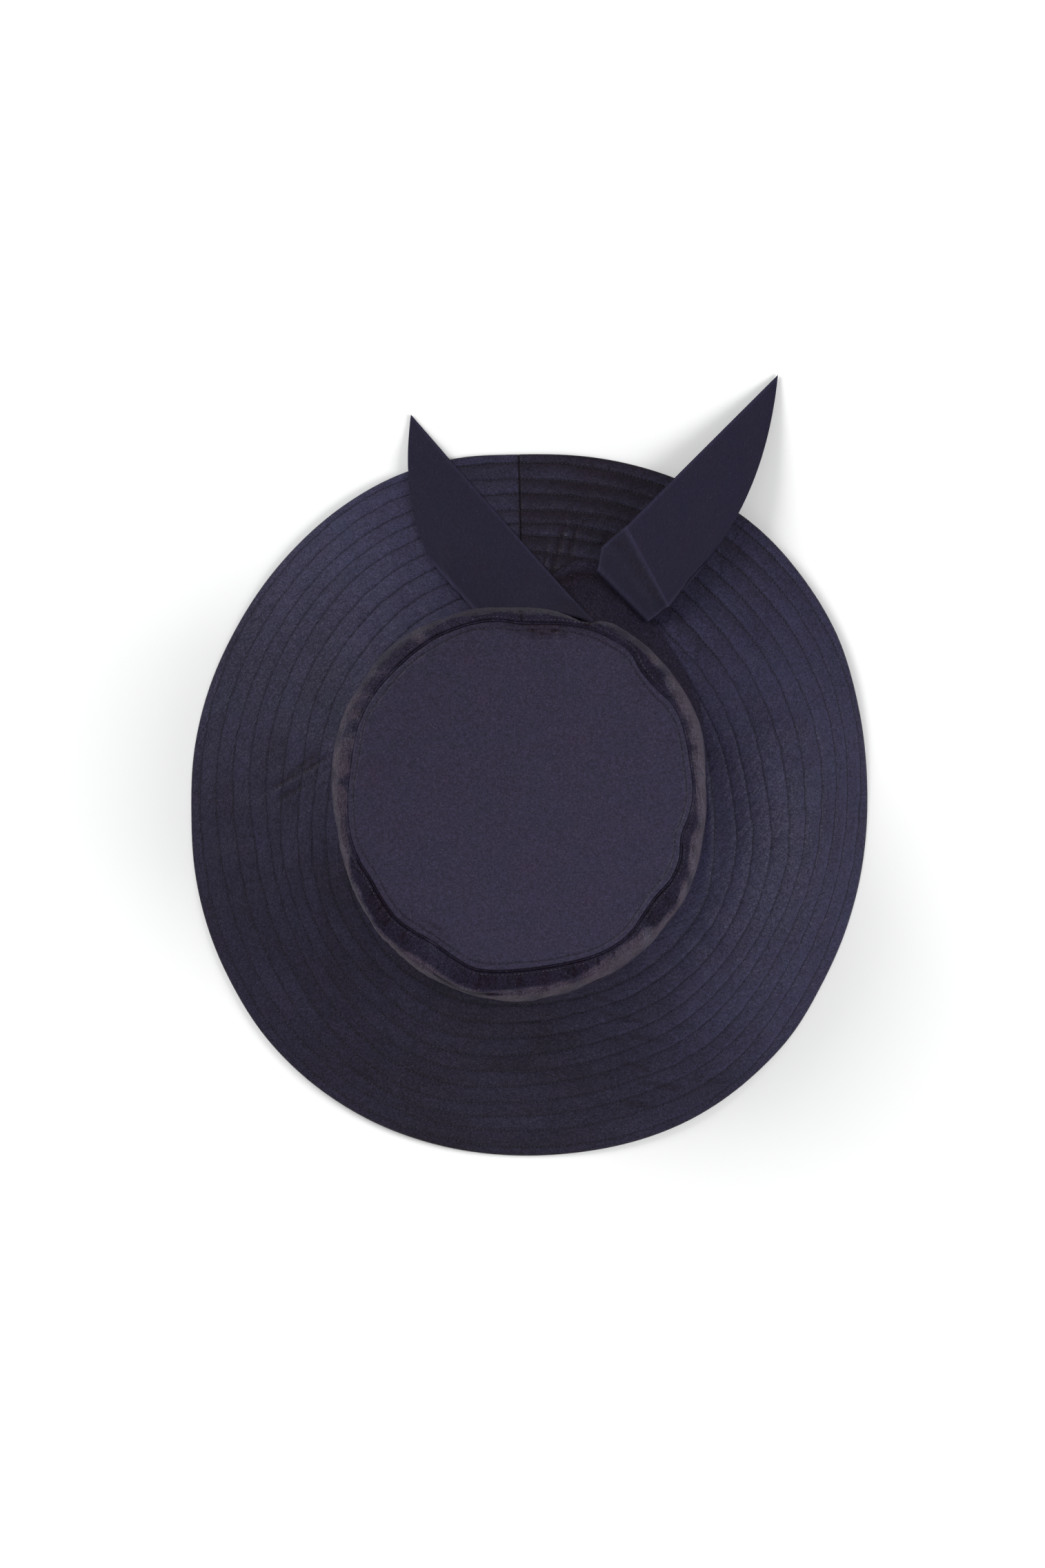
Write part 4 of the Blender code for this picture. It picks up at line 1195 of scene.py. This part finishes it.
def makeTip():
    steps = tipLook["clockSteps"]
    clocks = 360 * np.arange(steps) / steps
    edge = seamRadius(clocks) - tipLook["edgeIn"]
    stitchIn = tipLook["stitchIn"] - tipLook["edgeIn"] + 0.0003 * ripples(clocks, 0.0, 31, (3, 17))
    ins = [0 * edge, 0 * edge + 0.00008, 0 * edge + 0.00030, 0 * edge + 0.0007]
    for share in (0.35, 0.7):
        ins.append(0.0007 + (stitchIn - 0.0014) * share)
    for shift in (-0.0006, -0.0003, 0, 0.0003, 0.0006, 0.0014):
        ins.append(stitchIn + shift)
    inward = np.stack(ins, -1)
    shares = np.concatenate([np.linspace(0.03, 0.30, 20), np.linspace(0.33, 0.96, 20)])
    inner = inward[:, -1:] + (edge[:, None] - inward[:, -1:]) * shares[None]
    inward = np.hstack([inward, inner, edge[:, None]])
    radius = edge[:, None] - inward
    clockGrid = clocks[:, None] + 0 * radius
    share = radius / edge[:, None]
    seat = tipSeat - hatPattern["tipDip"] * (1 - share ** 2) ** 2
    top = seat + hatPattern["tipCloth"]
    top = top - edgeRound(inward, tipLook["edgeRadius"]) * tipLook["edgeDrop"]
    top = top - tipLook["grooveDepth"] * bump(inward - stitchIn[:, None], 0.00045)
    top = top + tipLook["puckerHeight"] * bump(inward - stitchIn[:, None] * 0.5, 0.0009)
    # puckers run in from the seam and fade
    near = smoothStep(0.0, 1.0, 1 - inward / 0.013) * smoothStep(0.0002, 0.0012, inward)
    strength = 0.30 + 1.5 * bump(signed(clockGrid - 9), 20) + 1.2 * bump(signed(clockGrid - 214), 18)
    strength = strength + 0.8 * bump(signed(clockGrid - 322), 14) + 0.7 * bump(signed(clockGrid - 122), 12)
    puckers = near * strength * ripples(clockGrid, inward * 120, 32, (30, 80), 3.0)
    top = top + puckers * tipLook["puckerHeight"]
    # longer soft dents beside the seam where the cloth was eased in
    dents = 0 * top
    for middle, wide, inAt, deep in tipDents:
        spot = bump(signed(clockGrid - middle), wide) * bump(inward * 1000 - inAt, 1.6 if wide > 5 else 0.8)
        dents = dents + spot * deep
    top = top - dents / 1000
    x, y = np.sin(np.radians(clockGrid)) * radius, np.cos(np.radians(clockGrid)) * radius
    swell = np.sin(x * 70 + 1.0) * np.sin(y * 48 + 2.1) + 0.6 * np.sin(x * 121 - y * 83 + 0.4)
    top = top + tipLook["swellHeight"] * swell * (1 - share ** 4)
    bottomShares = np.linspace(0, 1, 14)
    bottomRadius = (edge - 0.0001)[:, None] * bottomShares[None]
    bottomTop = tipSeat - hatPattern["tipDip"] * (1 - bottomShares ** 2) ** 2
    bottom = level(tipPlace(clocks[:, None] + 0 * bottomRadius, bottomRadius), bottomTop[None])
    upper = level(tipPlace(clockGrid, radius), top)
    # the two poles close the panel
    upper[:, -1] = upper[:, -1].mean(0)
    bottom[:, 0] = bottom[:, 0].mean(0)
    places = np.concatenate([upper, bottom], 1)
    flatShade = tipLook["shade"] + 0 * places[..., 0]
    # painted light: the tip a little lighter towards the front right
    flatShade = flatShade + 0.10 * np.clip((places[..., 0] - places[..., 1]) / 0.12, -1, 1)
    flatShade[:, :upper.shape[1]] -= tipLook["dentPaintedShade"] * dents
    flatShade[:, :2] -= tipLook["seamDark"]
    # painted shade along the line the stitches press in
    flatShade[:, 7:10] -= tipLook["stitchDark"]
    # painted shade in a band beside the seam, mostly at the back
    beside = 0.48 * bump(signed(clockGrid - 8), 22) + 0.16 * bump(signed(clockGrid - 214), 20)
    flatShade[:, :upper.shape[1]] -= bump(inward * 1000, 3.4) * beside
    threadRadius = tipLook["threadRadius"] + 0 * flatShade
    tip = clothRing("crownTipCloth", places, clocks, threadRadius, places[..., 1], flatShade)
    tip.data.materials.append(tipFinish)
    line = upper[:, 8].copy()
    line[:, 2] += tipLook["stitchLift"]
    spots, ways = spacedAlong(line, tipLook["stitchPitch"])
    ups = np.tile([0.0, 0.0, 1.0], (len(spots), 1))
    stitches = sewStitches("tipStitches", spots, ways, ups, *tipLook["stitchSize"], crownThreadFinish)
    print("crown tip made,", len(tip.data.polygons), "faces")
    return tip, stitches


tip, tipStitches = makeTip()

# Sash
sashLook = {
    "clockSteps": 540,
    "threadRadius": 0.099,
    "upperBands": 30,
    "wrinkleHeight": 0.00035,
    "fineHeight": 0.00008,
    "deepest": 0.00025,
    # the pressed edges' thickness, as a share of the cloth's
    "edgeShare": 0.55,
    "shade": 0.42,
    "backDark": 0.24,
    # clock: how far the lower edge flares out over the brim, as a share of the sash's width
    "flare": {-40: 0.00, -25: 0.00, -8: 0.00, -2: 0.10, 4: 0.36, 9: 0.66, 14.5: 0.82, 18: 0.78, 25: 0.565,
              34: 0.43, 44: 0.27, 57: 0.18, 70: 0.06, 85: 0.00, 110: 0.00},
}


def sashReach(clocks):
    return hatPattern["sashWidth"] * np.maximum(0, readTable(sashLook["flare"], signed(clocks)))


def bendLength(rise, reach):
    share = np.linspace(0, 1, 25)[:, None]
    out, up = reach * share ** 2, rise * (1 - share) ** 2
    return np.hypot(np.diff(out, axis=0), np.diff(up, axis=0)).sum(0)


def riseTable():
    reaches = np.linspace(0, hatPattern["sashWidth"] * 0.9, 60)
    low, high = np.zeros(60), np.full(60, hatPattern["sashWidth"])
    # halved 30 times, which is closer than any cloth is cut
    for halving in range(30):
        middle = (low + high) / 2
        short = bendLength(middle, reaches) < hatPattern["sashWidth"]
        low, high = np.where(short, middle, low), np.where(short, high, middle)
    return reaches, low


riseReaches, riseHeights = riseTable()


def sashLevel(clocks, share):
    stand = hatPattern["tieClearance"] + hatPattern["sashCloth"]
    face, reach = sashFace(clocks), sashReach(clocks)
    heel = brimTop(clocks, face) + stand
    hem = brimTop(clocks, face + reach) + stand
    rise = np.interp(reach, riseReaches, riseHeights)
    return heel + rise * (1 - share) ** 2 + (hem - heel) * share ** 2


def sashHeight(clocks, radius):
    face, reach = sashFace(clocks), sashReach(clocks)
    run = radius - face
    hem = sashLevel(clocks, 1.0) - brimTop(clocks, face + reach)
    beyond = brimTop(clocks, radius) + hem * (1 - (run - reach) / hatPattern["tailBridge"])
    share = np.sqrt(np.clip(run, 0, None) / np.maximum(reach, 1e-6))
    along = np.where(reach < 1e-6, sashLevel(clocks, 0.0), sashLevel(clocks, np.minimum(share, 1)))
    return np.where(run > reach, beyond, along)


# what a tail lies on: the flared sash, the brim, and a soft hang past the brim's edge
def supportHeight(clocks, radius):
    edge = crownRadius(clocks) + brimReach(clocks)
    share = np.clip((radius - edge) / hatPattern["tailHang"], 0, 1)
    hanging = brimTop(clocks, edge) * (1 - share) ** 2 * (1 + 2 * share)
    lying = np.maximum(brimTop(clocks, np.minimum(radius, edge)), sashHeight(clocks, radius))
    return np.where(radius > edge, hanging, lying)


def makeSash():
    steps = sashLook["clockSteps"]
    clocks = 360 * np.arange(steps) / steps
    shares = np.linspace(1, 0, sashLook["upperBands"])
    clockGrid, shareGrid = np.meshgrid(clocks, shares, indexing="ij")
    flat = facing(clockGrid) * (sashFace(clockGrid) + sashReach(clockGrid) * shareGrid ** 2)[..., None]
    outer = level(flat, sashLevel(clockGrid, shareGrid))
    tangentRound = np.roll(outer, 1, 0) - np.roll(outer, -1, 0)
    tangentUp = np.gradient(outer, axis=1)
    normal = np.cross(tangentRound, tangentUp)
    normal = normal / np.linalg.norm(normal, axis=2)[..., None]
    outwards = np.sign((normal[..., :2] * facing(clockGrid)).sum(-1).mean())
    normal = normal * outwards
    free = np.sin(np.pi * np.clip(1 - shareGrid, 0, 1))
    wrinkle = ripples(clockGrid, shareGrid * 4, 51, (6, 22), 2.5) * sashLook["wrinkleHeight"]
    fine = ripples(clockGrid, shareGrid * 7, 52, (40, 90), 6.0) * sashLook["fineHeight"]
    lift = (wrinkle + fine) * (0.35 + 0.65 * free)
    lift = np.maximum(lift, -sashLook["deepest"])
    outer = outer + normal * lift[..., None]
    # double cloth: pressed thin at both edges
    edge = sashLook["edgeShare"]
    cloth = hatPattern["sashCloth"] * (edge + (1 - edge) * np.clip(free * 2.2, 0, 1))
    inner = (outer - normal * cloth[..., None])[:, ::-1]
    places = np.concatenate([outer, inner], 1)
    across = travelled(places)
    near = signed(clocks)[:, None] + 0 * across
    shade = sashLook["shade"] + 0.10 * ripples(clocks[:, None], across * 30, 53, (3, 9), 1.0)
    shade = shade - sashLook["backDark"] * smoothStep(-25, 2, near) * (1 - smoothStep(30, 60, near))
    # painted highlight along the pressed hem, and a darker line where its edge is folded in
    hemBand = np.concatenate([shareGrid, 1 - shareGrid], 1)
    hem = 0.25 * bump(hemBand - 0.95, 0.03) - 0.16 * bump(hemBand - 0.86, 0.03)
    shade = shade + hem * bump(near - 14, 16)
    threadRadius = sashLook["threadRadius"] + 0 * across
    sash = clothRing("sashCloth", places, clocks, threadRadius, across, shade)
    sash.data.materials.append(sashFinish)
    print("sash made,", len(sash.data.polygons), "faces")
    return sash


sash = makeSash()

# Tails
tailLook = {
    "leftLength": 0.1512,
    "leftPoint": 0.082,
    "leftHeading": -40.2,
    "leftRootInner": 21.5,
    "leftRootOuter": -13.0,
    "rightLength": 0.1423,
    "rightPoint": 0.112,
    "rightHeading": 43.6,
    "rightRootClock": 34.2,
    "rightRootReach": 0.43,
    "creaseRise": 0.010,
    "foldRadius": 0.0013,
    "clothShare": 0.9,
    "edgeRadius": 0.00035,
    "waveHeight": 0.00025,
    "rootSlack": 0.0025,
    "leftShade": 0.42,
    "rightShade": 0.47,
    "edgeLight": 0.50,
    "edgeDark": 0.20,
    # how far the left tail's root rises, from its right edge to its left, in mm, and over what length
    "rootRise": {0.0: 18, 0.2: 21, 0.4: 21, 0.6: 15, 0.8: 9, 1.0: 5},
    "rootBend": 0.036,
    # right tail's flap: painted highlight and shade, added from its crease (0) to its folded edge (1)
    "flapPaintedLight": {0.0: 0.42, 0.05: 0.14, 0.14: -0.14, 0.35: -0.16, 0.52: -0.04, 0.70: -0.06, 0.90: -0.05,
                 1.0: 0.12},
    "stripsAcross": 40,
    "rightRows": 90,
    # rows on each of the flap's three slopes
    "slopeRows": 6,
}

# Root of the right tail: places along and across its heading, as shares of the sash's width, and rise
rightRoot = {
    "crease": (0.63, -1.00, 0.27, 0.06, 1.00),
    "upperSlope": (0.44, -1.03, 0.20, 0.04, 0.74),
    "lowerSlope": (0.25, -1.04, 0.13, 0.03, 0.48),
    "foldedEdge": (0.035, -0.89, 0.00, 0.00, 0.00),
    "underLayer": (0.22, -0.87, 0.20, -0.03, 0.00),
    "underEnd": (0.42, -0.86, 0.40, -0.05, 0.00),
}


# what the left tail lies on: the same, without climbing the sash where it doesn't flare
def lowBed(clocks, radius):
    flared = smoothStep(0.003, 0.011, sashReach(clocks))
    low = brimTop(clocks, np.minimum(radius, crownRadius(clocks) + brimReach(clocks)))
    held = np.where(radius > crownRadius(clocks) + 0.030, 1, flared)
    return low + (supportHeight(clocks, radius) - low) * held


def laidOn(flat, rise=0.0, bed=supportHeight):
    stand = hatPattern["tailClearance"] + hatPattern["sashCloth"] / 2
    clock, radius = clockOf(flat), np.hypot(flat[..., 0], flat[..., 1])
    best = np.full(radius.shape, -1.0)
    for share in (-0.95, -0.75, -0.5, -0.25, 0.0, 0.25, 0.5, 0.75, 0.95):
        height = bed(clock, radius + stand * share) + stand * math.sqrt(1 - share ** 2)
        best = np.maximum(best, height)
    return level(flat, best + rise)


# points across a tail, with one close to either edge
def stripShares():
    shares = np.linspace(0, 1, tailLook["stripsAcross"])
    shares[1], shares[-2] = 0.014, 0.986
    return shares


# the curved, pointed end of a tail
def cutEnd(tipEnd, along, aside, shares, pointLength):
    drop = pointLength * (1 - np.sqrt(1 - shares))
    return tipEnd + aside * (hatPattern["sashWidth"] * shares)[:, None] - along * drop[:, None]


# A tail: rows from the cut end to the root, each with its points across. One face, known by where it stands
# in the mesh, tells which way the strip faces.
def clothStrip(name, rows, knownFace):
    count, across = rows.shape[:2]
    piece = addGrid(name, across - 1, count - 1, 0.1, rows)
    along = travelled(rows.swapaxes(0, 1)).T
    setUv(piece, stripShares()[None] * hatPattern["sashWidth"] + 0 * along, along)
    if piece.data.polygons[int(len(piece.data.polygons) * knownFace)].normal.z < 0:
        selectOnly(piece)
        bpy.ops.object.mode_set(mode="EDIT")
        bpy.ops.mesh.select_all(action="SELECT")
        bpy.ops.mesh.flip_normals()
        bpy.ops.object.mode_set(mode="OBJECT")
    return piece


def finishStrip(piece, shade):
    setAttribute(piece, "shade", np.clip(shade, 0, 1))
    piece.data.materials.append(tieFinish)
    shell = piece.modifiers.new("cloth", "SOLIDIFY")
    shell.thickness = hatPattern["sashCloth"] * tailLook["clothShare"]
    shell.offset = 0
    rounded = piece.modifiers.new("edges", "BEVEL")
    rounded.width = tailLook["edgeRadius"]
    rounded.segments = 2
    rounded.limit_method = "ANGLE"
    rounded.angle_limit = math.radians(60)
    applyModifiers(piece)
    selectOnly(piece)
    bpy.ops.object.shade_smooth_by_angle(angle=math.radians(50))


def makeLeftTail():
    along, aside = facing(tailLook["leftHeading"]), facing(tailLook["leftHeading"] - 90)
    stand = hatPattern["tailClearance"] + hatPattern["sashCloth"] / 2
    rootInner = facing(tailLook["leftRootInner"]) * (sashFace(tailLook["leftRootInner"]) + stand)
    tipEnd = rootInner + along * tailLook["leftLength"]
    shares = stripShares()
    bands = np.linspace(0, 1, 110)
    rows = []
    cut = cutEnd(tipEnd, along, aside, shares, tailLook["leftPoint"])
    clock = tailLook["leftRootInner"] + (tailLook["leftRootOuter"] - tailLook["leftRootInner"]) * shares
    foot = facing(clock) * (sashFace(clock) + stand)[:, None]
    for band in bands:
        inward = 1 - (1 - band) ** 1.15
        rows.append(laidOn(cut + (foot - cut) * inward, bed=lowBed))
    rows = np.array(rows)
    # the root rises in one smooth bend to where it comes out of the sash
    fromFoot = np.linalg.norm(rows[..., :2] - foot[None], axis=-1)
    bend = np.clip(1 - fromFoot / tailLook["rootBend"], 0, 1) ** 2
    rise, slack = readTable(tailLook["rootRise"], shares)[None] / 1000 * bend, tailLook["rootSlack"]
    bent = brimTop(clockOf(rows), np.hypot(rows[..., 0], rows[..., 1])) + stand + rise
    rows[..., 2] = np.where(bend > 0, np.clip(rows[..., 2], bent, bent + slack), rows[..., 2])
    wave = ripples(bands[:, None] * 90, shares[None] * 2.0, 61, (3, 9), 2.0) * tailLook["waveHeight"]
    rows[..., 2] += np.maximum(wave, 0)
    tail = clothStrip("leftTailCloth", rows, 1 / 2)
    shade = np.full(rows.shape[:2], tailLook["leftShade"])
    # painted shade where the root rises, a darker line on both edges, and painted highlights just inside them
    shade = shade - 0.08 * bend
    shade[:, [0, -1]] -= tailLook["edgeDark"]
    shade[:, 1] += tailLook["edgeLight"] * 0.6
    shade[:, -2] += tailLook["edgeLight"]
    finishStrip(tail, shade)
    print("left tail made,", len(tail.data.polygons), "faces")
    return tail


def rootPoints(name, shares):
    width = hatPattern["sashWidth"]
    innerAlong, innerAside, outerAlong, outerAside, rise = rightRoot[name]
    along, aside = facing(tailLook["rightHeading"]), facing(tailLook["rightHeading"] + 90)
    clock = tailLook["rightRootClock"]
    corner = facing(clock) * (crownRadius(clock) + tailLook["rightRootReach"] * width)
    inner = along * innerAlong + aside * innerAside
    outer = along * outerAlong + aside * outerAside
    flat = corner + (inner + (outer - inner) * shares[:, None]) * width
    return laidOn(flat, rise * tailLook["creaseRise"])


# even rows from each guide line to the next
def between(guides, count):
    return [start + (end - start) * share for start, end in zip(guides, guides[1:])
            for share in np.linspace(0, 1, count + 1)[1:]]


def makeRightTail():
    width = hatPattern["sashWidth"]
    along, aside = facing(tailLook["rightHeading"]), facing(tailLook["rightHeading"] + 90)
    shares = stripShares()
    ridge = rootPoints("crease", shares)
    corner = ridge[0, :2] - along * rightRoot["crease"][0] * width
    tipEnd = corner + along * tailLook["rightLength"]
    lowest = hatPattern["tailClearance"] + hatPattern["sashCloth"] / 2
    cut = cutEnd(tipEnd, along, aside, shares, tailLook["rightPoint"])
    way = ((cut - ridge[:, :2]) @ along) / ((tipEnd - ridge[:, :2]) @ along)
    cutHeight = ridge[:, 2] + (lowest - ridge[:, 2]) * way
    cut = level(cut, cutHeight)
    rows = []
    for inward in np.linspace(0, 1, tailLook["rightRows"])[:-1]:
        place = cut + (ridge - cut) * inward
        laid = laidOn(place[:, :2])
        place[:, 2] = np.maximum(place[:, 2], laid[:, 2])
        rows.append(place)
    rows.append(ridge)
    # flap: from the crease down to the folded edge, with a shallow valley on its way
    upper, lower, fold = (rootPoints(name, shares) for name in ("upperSlope", "lowerSlope", "foldedEdge"))
    rows += between([ridge, upper, lower, fold + np.array([0, 0, tailLook["foldRadius"] * 2])],
                    tailLook["slopeRows"])
    for turn in (60, 30, 0, -30, -60, -90):
        turnAngle = math.radians(turn)
        bend = np.array([*(-along * tailLook["foldRadius"] * math.cos(turnAngle)),
                         tailLook["foldRadius"] * (1 + math.sin(turnAngle))])
        rows.append(fold + bend)
    rows += between([fold, rootPoints("underLayer", shares), rootPoints("underEnd", shares)], 4)
    rows = np.array(rows)
    shade = np.full(rows.shape[:2], tailLook["rightShade"])
    # a darker line on both edges, and painted highlights just inside them
    shade[:, [0, -1]] -= tailLook["edgeDark"]
    shade[:, [1, -2]] += tailLook["edgeLight"] * 0.7
    # the flap's rows run from the crease, the last of the tail's own, to the folded edge
    flapRows = 3 * tailLook["slopeRows"]
    for step in range(flapRows + 1):
        shade[tailLook["rightRows"] - 1 + step] += readTable(tailLook["flapPaintedLight"], step / flapRows)
    tail = clothStrip("rightTailCloth", rows, 1 / 3)
    finishStrip(tail, shade)
    print("right tail made,", len(tail.data.polygons), "faces")
    return tail


leftTail = makeLeftTail()
rightTail = makeRightTail()

# Every piece rides on the one body; the CAD part each cloth stands for is hidden
for piece, node, slot in ((brim, "brim", "brim_cloth"), (side, "crown_side", "crown_cloth"),
                          (tip, "crown_tip", "crown_cloth"), (sash, "sash", "tie_cloth"),
                          (leftTail, "left_tail", "tie_cloth"), (rightTail, "right_tail", "tie_cloth")):
    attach(piece, "root")
    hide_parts(node)
for piece, slot in ((brimStitches, "brim_cloth"), (underStitches, "brim_cloth"),
                    (sideStitches, "crown_cloth"), (tipStitches, "crown_cloth")):
    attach(piece, "root")
